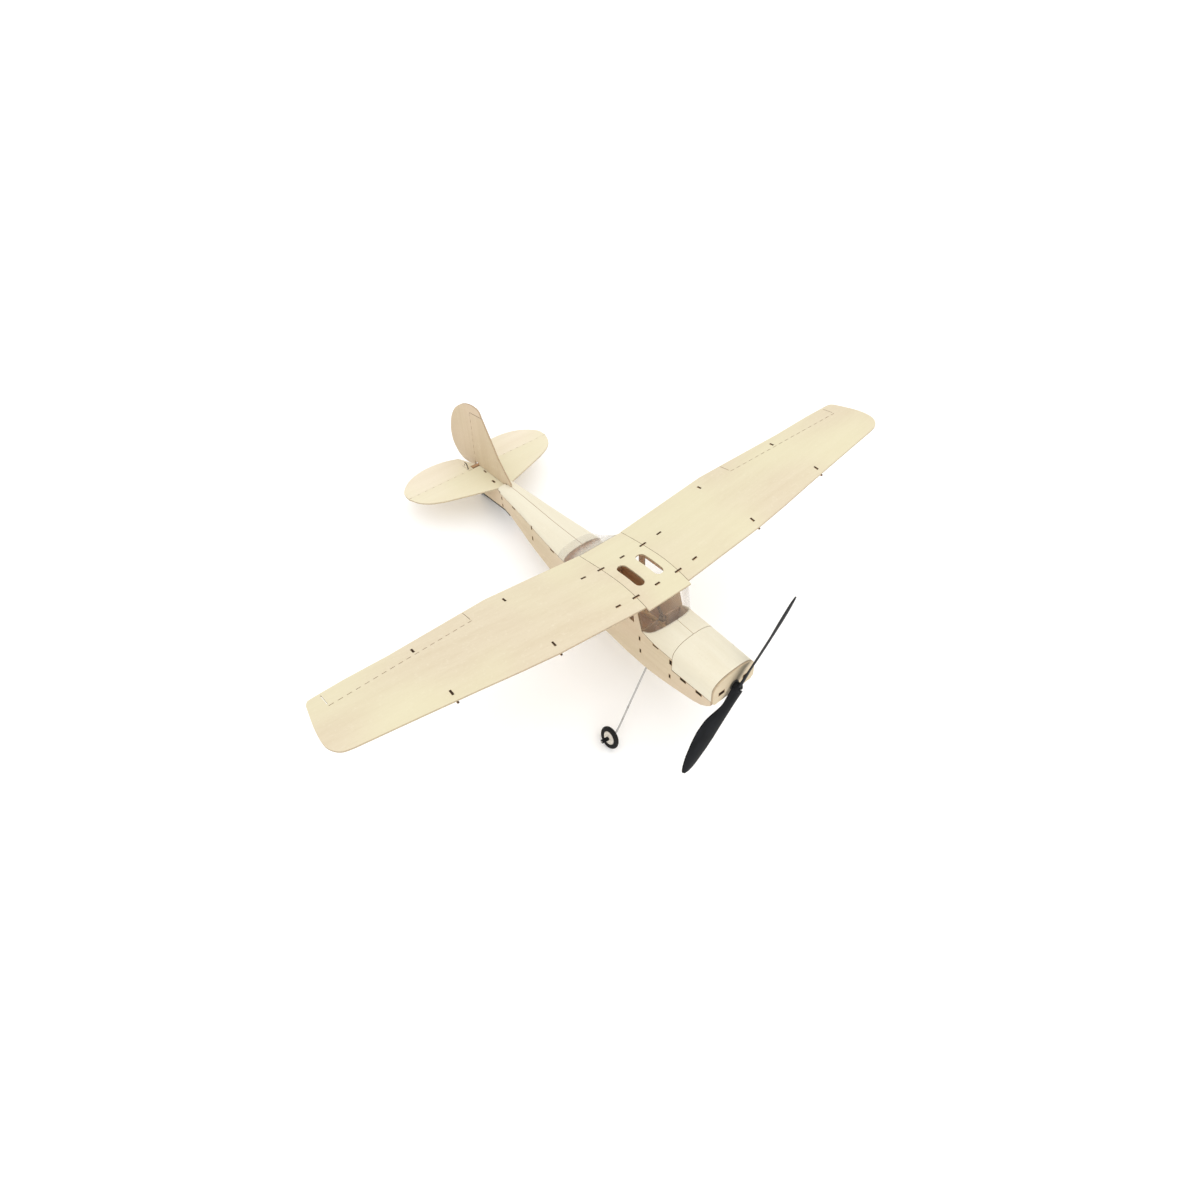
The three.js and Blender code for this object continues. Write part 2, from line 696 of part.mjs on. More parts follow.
function makeFin() {
  const hinge = RUDDER_HINGE;
  const outline = [
    [138.6, crownZ(140) + GAP],
    [STAB_NOSE_Y + 0.2, crownZ(140) + GAP],
    [STAB_NOSE_Y + 0.2, STAB_Z + GAP],
    [ELEVATOR_HINGE_Y, STAB_Z + GAP],
    [ELEVATOR_HINGE_Y, FIN_HEEL_Z],
    [hinge.bottom[0] - SEAM - 0.2, FIN_HEEL_Z],
    [hinge.top[0] - SEAM, hinge.top[1] - SEAM],
    [163.7, 28.7],
    [156.8, 16.8],
    [150.2, 5.1],
    [143.4, -3.4],
    [138.6, -8.6],
  ];
  return plate(outline, "x", -SHEET / 2, SHEET / 2);
}

function makeRudder() {
  const hinge = RUDDER_HINGE;
  const edge = [
    [186, -16.2],
    [193.7, -17],
    [200.6, -15],
    [206, -8.7],
    [207, -1],
    [205.4, 6.4],
    [201.9, 14.8],
    [196, 22.4],
    [189, 28],
    [181.6, 31.9],
    [173, 33.8],
    [166.4, 33],
    [163.9, 29.1],
  ];
  const outline = [
    [hinge.bottom[0] + SEAM, hinge.bottom[1]],
    ...smooth(edge, 32),
    [hinge.top[0] + SEAM, hinge.top[1] + SEAM],
  ];
  return plate(outline, "x", -SHEET / 2, SHEET / 2);
}

function makeElevatorHorn() {
  const foot = STAB_Z + GAP;
  const outline = [[176.6, foot], [182.6, foot], [182, -10.6], [180.4, -9], [178, -9.2]];
  const horn = plate(outline, "x", -9, -8.2);
  return horn.subtract(rod([[-11, 180, -10.7], [-6, 180, -10.7]], 0.6, { curved: false }));
}

// A carbon strip under the tail, as wide as the belly that it follows down to its tip.
function makeTailSkid() {
  const line = [...[133, 139, TAIL_END_Y - 3].map((y) => [y, bellyZ(y)]), SKID_TIP];
  const rows = (drop) =>
    line.map(([y, z]) => [-1, 1].map((side) => [side * halfWidth(y), y, z - GAP - drop]));
  return sheet(rows(0), rows(SKID_THICKNESS));
}

// ---- Propeller and rubber motor -----------------------------------------------------------

// The blade's leading and trailing edges, measured from its straight centre line, and its
// thickness, all at fractions of its radius.
const leadingEdge = profile([
  [0.05, 4.4],
  [0.14, 4.2],
  [0.41, 4.3],
  [0.7, 4.7],
  [0.88, 4.3],
  [0.96, 3.4],
  [1, 1.6],
]);
const trailingEdge = profile([
  [0.05, 3.4],
  [0.14, 3],
  [0.22, 2.7],
  [0.3, 4.6],
  [0.41, 7.2],
  [0.55, 7.7],
  [0.68, 7.3],
  [0.83, 5.8],
  [0.95, 3.4],
  [1, 1.4],
]);
const bladeThickness = profile([
  [0.05, 1.8],
  [0.2, 1.2],
  [0.5, 1],
  [1, 0.6],
]);

// One blade standing along +Z, with its leading edge towards -X and -Y.
function makeBlade() {
  const fractions = [0.02, 0.14, 0.22, 0.3, 0.36, 0.41, 0.48, 0.55, 0.68, 0.78, 0.88, 0.95, 0.98, 1];
  const across = range(0, 1, 6);
  const CAMBER_SHARE = 0.07;
  const LEAST_TWIST_RADIUS = 32; // nearer the hub the blade twists no further
  const surface = (side) =>
    fractions.map((fraction) => {
      const radius = fraction * PROP_RADIUS;
      const pitch = Math.atan(PROP_PITCH / (2 * Math.PI * Math.max(radius, LEAST_TWIST_RADIUS)));
      const leading = leadingEdge(fraction);
      const chord = leading + trailingEdge(fraction);
      return across.map((t) => {
        const along = t * chord - leading;
        const arch = CAMBER_SHARE * chord * Math.sin(Math.PI * t);
        // The edges keep a little thickness, so the lens stops short of nothing.
        const lens = bladeThickness(fraction) * Math.sin(Math.PI * (0.06 + 0.88 * t));
        const lift = arch + (side * lens) / 2;
        const [c, s] = [Math.cos(pitch), Math.sin(pitch)];
        return [along * c + lift * s, along * s - lift * c, radius];
      });
    });
  return sheet(surface(1), surface(-1));
}

function makePropeller() {
  const blade = makeBlade();
  const hubProfile = [
    [0, 0],
    [HUB_RADIUS, 0],
    [HUB_RADIUS, HUB_LENGTH - 1],
    [HUB_RADIUS - 1, HUB_LENGTH],
    [0, HUB_LENGTH],
  ];
  const back = [0, HUB_LENGTH / 2, 0];
  const hub = turned(hubProfile, back, [0, -1, 0], 24);
  const bore = turned(disc(SHAFT_RADIUS + GAP, -1, HUB_LENGTH + 1), back, [0, -1, 0], 12);
  const degrees = THREE.MathUtils.radToDeg(PROP_TURN);
  const pair = union([hub, blade, blade.rotate([0, 180, 0])]).subtract(bore);
  return pair.rotate([0, degrees, 0]).translate([0, PROP_Y, SHAFT_Z]);
}

// The wire shaft through the hub, with a hook at its rear end for the rubber.
function makeShaft() {
  const HOOK_RADIUS = 2.2;
  const hookY = PROP_Y + 14;
  const hook = range(0, 1.5 * Math.PI, 6).map((a) => [
    0,
    hookY + HOOK_RADIUS * Math.sin(a),
    SHAFT_Z - HOOK_RADIUS * (1 - Math.cos(a)),
  ]);
  const straight = range(PROP_Y - HUB_LENGTH / 2 - 0.5, hookY - 2, 3).map((y) => [0, y, SHAFT_Z]);
  return rod([...straight, ...hook], SHAFT_RADIUS, { steps: 26 });
}

function makeNoseButton() {
  const bore = SHAFT_RADIUS + GAP;
  const FLANGE = 0.4;
  const FLANGE_RADIUS = 3.2;
  const LENGTH = 4.7;
  const STEM_RADIUS = 2;
  const buttonProfile = [
    [bore, 0],
    [bore, LENGTH],
    [STEM_RADIUS, LENGTH],
    [STEM_RADIUS, FLANGE],
    [FLANGE_RADIUS, FLANGE],
    [FLANGE_RADIUS, 0],
    [bore, 0],
  ];
  return turned(buttonProfile, [0, NOSE_Y - GAP - FLANGE, SHAFT_Z], [0, 1, 0], 20);
}

function makeThrustWasher() {
  const front = NOSE_Y + 4.4;
  return turned(ring(SHAFT_RADIUS + GAP, 1.9, 0, 0.9), [0, front, SHAFT_Z], [0, 1, 0], 16);
}

function makeRubberMotor() {
  const startY = PROP_Y + 17.4;
  const ys = range(startY, PEG_Y - 2, 2);
  return rod(ys.map((y) => [0, y, motorZ(y)]), MOTOR_RADIUS, { steps: 8 });
}

function makeMotorPeg() {
  const half = inside(PEG_Y) - 0.2;
  return rod([[-half, PEG_Y, PEG_Z], [half, PEG_Y, PEG_Z]], 1.2, { curved: false, sides: 12 });
}

// ---- Undercarriage, pilot's left side (+X) ------------------------------------------------

const AXLE = [Math.cos(CAMBER), 0, Math.sin(CAMBER)];
const AXLE_TIP = 0.6; // bare wire beyond the sleeve
const BOSS_HALF = 1.25; // half the rim's thickness at its hub
// The sleeves that keep the wheels on are cut by hand to different lengths.
const LEFT_SLEEVE = 1.2;
const RIGHT_SLEEVE = 4.4;

function alongAxle(distance) {
  return WHEEL_CENTRE.map((value, i) => value + AXLE[i] * distance);
}

// Out of the block, through the bottom sheet's corner, down to the wheel and through it.
function makeGearLeg(sleeve, clearance = 0) {
  const path = [
    [3, -6.2, -46.8],
    [9.4, -6.8, -46.9],
    [12.4, -7.5, -48.7],
    [30, -11.9, -64.6],
    [44.6, -15.5, -77.9],
    alongAxle(-2.8),
    alongAxle(0),
    alongAxle(BOSS_HALF + GAP + sleeve + AXLE_TIP),
  ];
  return rod(path, WIRE_RADIUS + clearance, { steps: 44 });
}

function makeTyre() {
  const half = WHEEL_WIDTH / 2;
  const inner = RIM_RADIUS + GAP;
  const bead = half - 0.4;
  const crown = range(-Math.PI / 2, Math.PI / 2, 8).map((a) => [
    WHEEL_RADIUS - TREAD_RADIUS + TREAD_RADIUS * Math.cos(a),
    half * Math.sin(a),
  ]);
  const tyreProfile = [[inner, -bead], ...crown, [inner, bead], [inner, -bead]];
  return turned(tyreProfile, WHEEL_CENTRE, AXLE, 32);
}

function makeRim() {
  const bore = WIRE_RADIUS + GAP;
  const BOSS_RADIUS = 1.6;
  const EDGE_HALF = 0.9;
  const rimProfile = [
    [bore, -BOSS_HALF],
    [BOSS_RADIUS, -BOSS_HALF],
    [RIM_RADIUS, -EDGE_HALF],
    [RIM_RADIUS, EDGE_HALF],
    [BOSS_RADIUS, BOSS_HALF],
    [bore, BOSS_HALF],
    [bore, -BOSS_HALF],
  ];
  return turned(rimProfile, WHEEL_CENTRE, AXLE, 32);
}

function makeRetainer(sleeve) {
  const from = BOSS_HALF + GAP;
  return turned(ring(WIRE_RADIUS + GAP, 1.2, from, from + sleeve), WHEEL_CENTRE, AXLE, 14);
}

// ---- Assembly -----------------------------------------------------------------------------

const airframe = new THREE.Group();

function add(name, solid, material) {
  airframe.add(meshOf(name, solid, MATERIALS[material]));
}

// A piece and its mirror image, named for the pilot's left and right.
function addPair(name, solid, material) {
  add(`${name}_left`, solid, material);
  add(`${name}_right`, mirrored(solid), material);
}

add("wing_center_panel", makeCentrePanel(), "balsa");
addPair("wing_panel", makeWingPanel(), "balsa");
add("dihedral_brace_front", makeBrace(BRACE_YS[0]), "ply");
add("dihedral_brace_rear", makeBrace(BRACE_YS[1]), "ply");
for (const rib of RIBS) addPair(`wing_rib_${rib.name}`, makeRib(rib), "ply");

const gearClearance = makeGearLeg(0, 1.6 * GAP);
const gearClearances = [gearClearance, mirrored(gearClearance)];
addPair("fuselage_side", makeSide(gearClearance), "balsa");
add("fuselage_bottom", makeBottom(gearClearances), "balsa");
add("nose_hatch", makeHatch(), "balsa");
const cowlDeck = {
  fromY: HATCH_Y + SEAM,
  toY: SCREEN_BASE_Y - 0.2,
  bulge: SCREEN_BULGE - 0.8,
  power: DECK_BULGE,
  steps: 4,
  sideGap: SEAM,
};
addPair("cowl_deck", makeDeck(cowlDeck), "balsa");
const rearDeck = {
  fromY: ARCH_Y,
  toY: STAB_NOSE_Y + 3.4,
  bulge: 0,
  power: REAR_BULGE,
  steps: 8,
  sideGap: SEAM,
};
// The rear decks end along the tailplane's leading edge, over the sides and beside the fin's foot.
const seatFront = STAB_NOSE_Y - 1.2;
const tailSeats = [
  plate(stabilizerOutline(-GAP), "z", CUT_LOW_Z - HALF_BODY, CUT_HIGH_Z),
  box([-SHEET, seatFront, CUT_LOW_Z - HALF_BODY], [SHEET, ELEVATOR_HINGE_Y, CUT_HIGH_Z]),
  box([-HALF_BODY, seatFront, CUT_LOW_Z - HALF_BODY], [HALF_BODY, ELEVATOR_HINGE_Y, STAB_Z - SHEET]),
];
addPair("rear_deck", cut(makeDeck(rearDeck), tailSeats), "balsa");

add(
  "nose_former",
  makeFormer({
    y: NOSE_Y + SHEET / 2,
    half: HALF_BODY,
    lowZ: bellyZ(NOSE_Y) - 0.6,
    baseZ: creaseZ(NOSE_Y),
    topZ: crownZ(NOSE_Y),
    power: DECK_BULGE,
    holeRadius: 2.4,
  }),
  "balsa",
);
const CABIN_POWER = 4; // nearly square-topped frames under the wing and the windscreen
const FORMERS = [
  {
    name: "firewall",
    y: -28.2,
    baseZ: creaseZ(HATCH_Y),
    topZ: underDeck(-28.2),
    power: DECK_BULGE,
    hole: 5.5,
  },
  { name: "cabin_front", y: -3.2, baseZ: -24.9, topZ: -24.4, power: CABIN_POWER, hole: 4.6 },
  { name: "cabin_rear", y: 47, baseZ: -20, topZ: -14.6, power: CABIN_POWER, hole: 6 },
  ...[
    { name: "arch", y: ARCH_Y + 1, hole: 6 },
    { name: "rear", y: 103.5, hole: 4 },
    { name: "tail", y: 141.4, hole: 0 },
  ].map((deck) => ({ ...deck, baseZ: creaseZ(deck.y), topZ: underDeck(deck.y - 1), power: REAR_BULGE })),
];
for (const { name, y, hole, ...shape } of FORMERS) {
  const lowZ = Math.max(onFloor(y - SHEET), onFloor(y + SHEET));
  const former = makeFormer({ ...shape, y, half: inside(y + 1), lowZ, holeRadius: hole });
  add(`${name}_former`, former, "ply");
}
add("windscreen", makeWindscreen(), "film");
add("rear_window", makeRearWindow(), "film");
addPair("side_window", makeSideWindow(), "film");
add("cabin_brace", makeCabinBrace(), "ply");

add("stabilizer", makeStabilizer(), "balsa");
addPair("elevator", makeElevatorHalf(), "balsa");
add("elevator_joiner", makeElevatorJoiner(), "ply");
add("elevator_horn", makeElevatorHorn(), "ply");
add("fin", makeFin(), "balsa");
add("rudder", makeRudder(), "balsa");
add("tail_skid", makeTailSkid(), "carbon");

add("propeller", makePropeller(), "plastic");
add("prop_shaft", makeShaft(), "steel");
add("nose_button", makeNoseButton(), "nylon");
add("thrust_washer", makeThrustWasher(), "brass");
add("rubber_motor", makeRubberMotor(), "strand");
add("motor_peg", makeMotorPeg(), "ply");

add("gear_block", makeGearBlock(gearClearances), "ply");
add("gear_leg_left", makeGearLeg(LEFT_SLEEVE), "steel");
add("gear_leg_right", mirrored(makeGearLeg(RIGHT_SLEEVE)), "steel");
addPair("tyre", makeTyre(), "rubber");
addPair("rim", makeRim(), "rim");
add("wheel_retainer_left", makeRetainer(LEFT_SLEEVE), "plastic");
add("wheel_retainer_right", mirrored(makeRetainer(RIGHT_SLEEVE)), "plastic");

// The plane stands on its two wheels and its tail skid. The cambered wheel's lowest point is
// its height below the axle's centre: the tread's half circle swept round the wheel.
const wheelDrop =
  (WHEEL_RADIUS - TREAD_RADIUS) * Math.cos(CAMBER) +
  Math.hypot(TREAD_RADIUS * Math.cos(CAMBER), (WHEEL_WIDTH / 2) * Math.sin(CAMBER));
const base = SKID_TIP[0] - WHEEL_CENTRE[1];
const fall = SKID_TIP[1] - GAP - SKID_THICKNESS - WHEEL_CENTRE[2];
const sitting = Math.atan2(fall, base) + Math.asin(wheelDrop / Math.hypot(base, fall));
airframe.rotation.x = -sitting;

const plane = new THREE.Group();
plane.add(airframe);
plane.updateMatrixWorld(true);
const bounds = new THREE.Box3().setFromObject(plane, true);
const middle = bounds.getCenter(new THREE.Vector3());
airframe.position.set(-middle.x, -middle.y, -bounds.min.z);

export default plane;
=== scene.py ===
"""The looks of a small laser-cut balsa plane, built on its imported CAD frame. Metres."""

import json
import math

import bmesh  # noqa: E402
import bpy  # noqa: E402
from mathutils import Matrix, Vector  # noqa: E402


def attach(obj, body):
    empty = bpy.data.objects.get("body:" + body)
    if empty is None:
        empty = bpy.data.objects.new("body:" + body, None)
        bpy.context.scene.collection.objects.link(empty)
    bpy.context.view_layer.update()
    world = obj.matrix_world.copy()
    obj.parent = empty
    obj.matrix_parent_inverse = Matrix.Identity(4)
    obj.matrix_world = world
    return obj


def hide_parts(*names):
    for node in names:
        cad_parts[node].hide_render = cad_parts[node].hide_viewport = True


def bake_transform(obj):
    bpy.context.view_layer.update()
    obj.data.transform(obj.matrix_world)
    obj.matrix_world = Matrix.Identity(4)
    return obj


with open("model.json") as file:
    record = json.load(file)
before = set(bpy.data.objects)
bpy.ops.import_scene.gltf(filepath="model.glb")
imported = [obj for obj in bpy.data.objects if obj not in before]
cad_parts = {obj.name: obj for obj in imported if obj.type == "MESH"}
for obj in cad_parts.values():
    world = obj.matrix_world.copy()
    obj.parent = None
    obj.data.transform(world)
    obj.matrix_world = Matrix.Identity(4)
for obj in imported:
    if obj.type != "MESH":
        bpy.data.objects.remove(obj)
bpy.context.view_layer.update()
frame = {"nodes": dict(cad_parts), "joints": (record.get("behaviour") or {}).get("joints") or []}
joints = {joint["name"]: joint for joint in frame["joints"]}
nodes = frame["nodes"]

# ---- The airframe's own frame: millimetres, zero at the wing's top over its front brace ------

MM_PER_METRE = 1000
SIDES = ("left", 1), ("right", -1)
HUB = Vector((0, -63, -31.2))  # the propeller's centre
PITCH = math.atan2(joints["propeller_spin"]["axis"][2], -joints["propeller_spin"]["axis"][1])
TO_ROW = Matrix.Rotation(-PITCH, 4, "X") @ Matrix.Scale(1 / MM_PER_METRE, 4)
TO_ROW.translation = Vector(joints["propeller_spin"]["pos_m"]) - TO_ROW @ HUB


def row(x, y, z):
    """A point of the airframe's frame in the row frame."""
    return TO_ROW @ Vector((x, y, z))


def profile(pairs):
    """Straight-line interpolation through (position, value) pairs, held at both ends."""

    def at(position):
        for (a, low), (b, high) in zip(pairs, pairs[1:]):
            if position <= b:
                return low + (high - low) * max(0.0, (position - a) / (b - a))
        return pairs[-1][1]

    return at


# Half the fuselage's width along Y.
half_width = profile([
    (52, 15.7), (60, 15.1), (80, 13.4), (100, 11.1), (120, 8.6), (140, 6.8), (174, 3.7),
])

# ---- Shader helpers --------------------------------------------------------------------------

PLAIN_GLOSS = 0.5  # the shader's own level
SOOT_GLOSS = 0.1


def srgb(red, green, blue):
    """A display colour, 0 to 255, as the linear colour that a shader takes."""

    def linear(value):
        value /= 255
        return value / 12.92 if value <= 0.04045 else ((value + 0.055) / 1.055) ** 2.4

    return (linear(red), linear(green), linear(blue), 1)


class Shader:
    """A material and short calls for the nodes that its tree is made of."""

    def __init__(self, name):
        self.material = bpy.data.materials.new(name)
        self.material.use_nodes = True
        self.tree = self.material.node_tree
        self.surface = self.tree.nodes["Principled BSDF"]

    def node(self, kind, inputs=None, **settings):
        made = self.tree.nodes.new(kind)
        for key, value in settings.items():
            setattr(made, key, value)
        for key, value in (inputs or {}).items():
            self.feed(made.inputs[key], value)
        return made

    def feed(self, socket, value):
        if isinstance(value, bpy.types.NodeSocket):
            self.tree.links.new(value, socket)
        else:
            socket.default_value = value

    def math(self, operation, a, b=0.0):
        return self.node("ShaderNodeMath", {0: a, 1: b}, operation=operation).outputs[0]

    def mix(self, share, a, b, mode="MIX"):
        inputs = {"Factor": share, 6: a, 7: b}
        return self.node("ShaderNodeMix", inputs, data_type="RGBA", blend_type=mode).outputs[2]

    def span(self, value, low, high, to_low=0.0, to_high=1.0):
        """value taken smoothly from low..high to to_low..to_high, and held there outside."""
        inputs = {
            "Value": value, "From Min": low, "From Max": high, "To Min": to_low, "To Max": to_high,
        }
        return self.node("ShaderNodeMapRange", inputs, interpolation_type="SMOOTHSTEP").outputs[0]

    def noise(self, where, scale, detail=3.0, roughness=0.5):
        inputs = {"Vector": where, "Scale": scale, "Detail": detail, "Roughness": roughness}
        return self.node("ShaderNodeTexNoise", inputs).outputs["Fac"]

    def stretched(self, where, factors):
        """Coordinates times a factor on each axis. A factor under 1 draws a pattern out."""
        inputs = {0: where, 1: factors}
        return self.node("ShaderNodeVectorMath", inputs, operation="MULTIPLY").outputs[0]

    def airframe(self):
        """The surface's place in the airframe's millimetres, and its normal there."""
        coordinates = self.node("ShaderNodeTexCoord")
        shift = -(Matrix.Rotation(PITCH, 3, "X") @ TO_ROW.translation) * MM_PER_METRE
        place = self.node("ShaderNodeMapping", {
            "Vector": coordinates.outputs["Object"],
            "Location": shift,
            "Rotation": (PITCH, 0, 0),
            "Scale": (MM_PER_METRE, MM_PER_METRE, MM_PER_METRE),
        })
        normal = self.node("ShaderNodeMapping", {
            "Vector": coordinates.outputs["Normal"],
            "Rotation": (PITCH, 0, 0),
        })
        return place.outputs[0], normal.outputs[0]

    def parts(self, vector):
        """A vector's X, Y and Z."""
        return self.node("ShaderNodeSeparateXYZ", {"Vector": vector}).outputs

    def relief(self, height, strength, depth_mm):
        """Bump of that depth, fed to the surface."""
        inputs = {"Height": height, "Strength": strength, "Distance": depth_mm / MM_PER_METRE}
        self.feed(self.surface.inputs["Normal"], self.node("ShaderNodeBump", inputs).outputs[0])

    def gloss(self, level):
        """How strongly the surface mirrors, 0 to 1."""
        self.surface.inputs["Specular IOR Level"].default_value = level

    def finish(self, **values):
        """The material, with those inputs fed to its surface."""
        for key, value in values.items():
            self.feed(self.surface.inputs[key.replace("_", " ").title()], value)
        return self.material


# ---- Materials -------------------------------------------------------------------------------

AXES = "xyz"
STREAK_DRAW = 0.03  # along the grain: the smaller, the longer the streaks
PORE_DRAW = 0.18
SEED_RANGE = 900.0  # how far apart in the noise two pieces can lie, so that their grain differs
PORE = srgb(168, 138, 102)
FLECK = srgb(232, 224, 206)
SCORCHED = srgb(104, 78, 54), srgb(166, 134, 98)
SOOTY = srgb(30, 22, 14), srgb(50, 37, 24)
CABIN_MIDDLE_Z = -30.0
# Painted cabin light and shade, for the side of a sheet that faces the cabin:
PAINTED_CABIN_FALLOFF_Y = 0, 16  # the painted cabin light gives way to painted shade between these two Y
PAINTED_CABIN_LIGHT = srgb(255, 232, 200)
PAINTED_CABIN_SHADE = srgb(236, 196, 158), srgb(216, 174, 136)


def drawn_out(grain, draw):
    """The factors that draw a pattern out along the grain."""
    return [draw if axis == grain else 1 for axis in AXES]


def wood(name, grain, flat, light, dark, inner=0.0, burnt=0.85, contrast=1.0, bloom=None,
         char=SCORCHED, gloss=PLAIN_GLOSS):
    """Bare balsa sheet. grain is the axis it runs along. flat is the axis across the sheet, and its
    laser-cut edges face away from it, or "arch" for a deck whose edges face along Y. inner is how
    much painted cabin light and shade the side that faces the cabin takes on, burnt how much the
    cut edges take on the two colours of char, contrast how strong the grain is, and bloom a second
    colour in wide soft patches."""
    s = Shader(name)
    place, normal = s.airframe()
    random = s.node("ShaderNodeObjectInfo").outputs["Random"]
    shift = s.math("MULTIPLY", random, SEED_RANGE)
    moved = s.node("ShaderNodeVectorMath", {0: place, 1: shift}, operation="ADD").outputs[0]
    along = s.stretched(moved, drawn_out(grain, STREAK_DRAW))

    bands = s.noise(along, 0.16, 2.0, 0.5)
    streaks = s.noise(along, 0.9, 4.0, 0.62)
    pores = s.noise(s.stretched(moved, drawn_out(grain, PORE_DRAW)), 3.4, 2.0, 0.5)
    flecks = s.noise(moved, 0.5, 3.0, 0.6)
    colour = s.mix(s.span(bands, 0.25, 0.78, 0, 0.7 * contrast), light, dark)
    colour = s.mix(s.span(streaks, 0.42, 0.85, 0, 0.5 * contrast), colour, dark)
    colour = s.mix(s.span(pores, 0.62, 0.72, 0, 0.14), colour, PORE)
    colour = s.mix(s.span(flecks, 0.55, 0.75, 0, 0.2), colour, FLECK)
    tint = s.span(s.noise(moved, 0.016, 1.0), 0.35, 0.65, 0, 0.6)
    colour = s.mix(tint, colour, bloom or light)

    facing = s.parts(normal)
    # The side that faces the cabin takes painted light towards the cabin's front and painted shade
    # further back.
    if inner:
        above_middle = s.math("ADD", s.parts(place)[2], -CABIN_MIDDLE_Z)
        spoke = s.node("ShaderNodeCombineXYZ", {"X": s.parts(place)[0], "Z": above_middle})
        inputs = {0: spoke.outputs[0], 1: normal}
        outward = s.node("ShaderNodeVectorMath", inputs, operation="DOT_PRODUCT")
        inside = s.span(outward.outputs["Value"], -0.5, 0.5, inner, 0.0)
        painted_deep_shade = s.mix(s.span(s.noise(along, 0.6), 0.3, 0.7), *PAINTED_CABIN_SHADE)
        painted_cabin_tone = s.mix(s.span(s.parts(place)[1], *PAINTED_CABIN_FALLOFF_Y), PAINTED_CABIN_LIGHT, painted_deep_shade)
        colour = s.mix(inside, colour, painted_cabin_tone)
    if flat == "arch":
        edge = s.span(s.math("ABSOLUTE", facing[1]), 0.75, 0.92)
    else:
        edge = s.span(s.math("ABSOLUTE", facing[AXES.index(flat)]), 0.35, 0.6, 1.0, 0.0)
    cut = s.mix(s.span(s.noise(moved, 1.6), 0.35, 0.65), *char)
    colour = s.mix(s.math("MULTIPLY", edge, burnt), colour, cut)

    height = s.math("ADD", s.math("MULTIPLY", streaks, 0.6), s.math("MULTIPLY", pores, 0.5))
    s.relief(height, 0.5, 0.06)
    s.gloss(gloss)
    return s.finish(base_color=colour, roughness=s.span(streaks, 0.3, 0.7, 0.66, 0.84))


def charred():
    """The burnt end of a tab."""
    s = Shader("charred_end_grain")
    place, _ = s.airframe()
    fine = s.noise(place, 2.4, 4.0, 0.6)
    colour = s.mix(s.span(fine, 0.35, 0.7), srgb(28, 20, 13), srgb(56, 41, 27))
    s.relief(fine, 0.5, 0.08)
    s.gloss(SOOT_GLOSS)
    return s.finish(base_color=colour, roughness=s.span(fine, 0.3, 0.7, 0.7, 0.9))


def film(name, haze, veil, glare_and_haze=None):
    """Thin clear plastic with faint pulls and smears. haze is how much of the veil's colour lies
    over what is behind the film. The last argument, if given, is a painted glare and haze, as
    (source, low, high, most, shade): as the source goes from low to high, the film takes on the
    shade and up to most more of it lies over. The source is "turn", the normal's X, or "along",
    the place's Y."""
    s = Shader(name)
    place, normal = s.airframe()
    pulls = s.noise(s.stretched(place, (0.6, 0.3, 0.06)), 0.3, 2.0, 0.5)
    smears = s.noise(place, 0.09, 2.0, 0.5)
    colour = s.mix(s.span(smears, 0.3, 0.7, 0, 0.5), veil, srgb(214, 214, 218))
    cover = s.span(pulls, 0.4, 0.8, haze * 0.7, haze * 1.3)
    # Painted glare and haze: the film takes on a colour and more cover along a grade.
    if glare_and_haze:
        source, low, high, most, shade = glare_and_haze
        where = s.parts(normal)[0] if source == "turn" else s.parts(place)[1]
        colour = s.mix(s.span(where, low, high), colour, shade)
        cover = s.math("ADD", cover, s.span(where, low, high, 0.0, most))
    s.relief(s.math("ADD", pulls, smears), 0.2, 0.3)
    s.gloss(0.25)
    return s.finish(base_color=colour, roughness=s.span(smears, 0.3, 0.7, 0.2, 0.32), alpha=cover)


def moulded_black():
    """The propeller and the wheel retainers."""
    s = Shader("moulded_black_plastic")
    place, _ = s.airframe()
    flow = s.noise(s.stretched(place, (0.3, 1, 0.3)), 0.5, 3.0, 0.5)
    fine = s.noise(place, 6.0, 2.0, 0.5)
    colour = s.mix(s.span(flow, 0.3, 0.7), srgb(15, 16, 18), srgb(25, 26, 29))
    s.relief(fine, 0.35, 0.03)
    s.gloss(0.12)
    return s.finish(base_color=colour, roughness=s.span(flow, 0.3, 0.7, 0.5, 0.62))


def foam_rubber():
    """The tyres: fine cells, with a little dust."""
    s = Shader("tyre_rubber")
    place, _ = s.airframe()
    cells = s.node("ShaderNodeTexVoronoi", {"Vector": place, "Scale": 3.2}).outputs["Distance"]
    dust = s.noise(place, 0.8, 3.0, 0.6)
    colour = s.mix(s.span(dust, 0.45, 0.8), srgb(18, 18, 18), srgb(40, 38, 36))
    s.relief(cells, 0.5, 0.08)
    s.gloss(0.28)
    return s.finish(base_color=colour, roughness=s.span(dust, 0.3, 0.7, 0.75, 0.92))


def pale_disc():
    """The rims."""
    s = Shader("pale_rim")
    place, _ = s.airframe()
    cloud = s.noise(place, 0.5, 3.0, 0.6)
    fine = s.noise(place, 4.0, 2.0, 0.5)
    colour = s.mix(s.span(cloud, 0.3, 0.7), srgb(204, 197, 184), srgb(222, 216, 205))
    s.relief(fine, 0.4, 0.04)
    return s.finish(base_color=colour, roughness=s.span(fine, 0.3, 0.7, 0.45, 0.62))


def wire_steel():
    """The undercarriage and the shaft: drawn wire with dull stains."""
    s = Shader("spring_wire")
    place, _ = s.airframe()
    drawn = s.noise(s.stretched(place, (3, 3, 0.15)), 2.2, 3.0, 0.6)
    stain = s.noise(place, 0.25, 3.0, 0.6)
    colour = s.mix(s.span(drawn, 0.3, 0.7), srgb(150, 148, 144), srgb(196, 194, 190))
    colour = s.mix(s.span(stain, 0.55, 0.75, 0, 0.5), colour, srgb(112, 104, 94))
    s.relief(drawn, 0.3, 0.03)
    return s.finish(base_color=colour, metallic=0.9, roughness=s.span(stain, 0.3, 0.7, 0.28, 0.45))


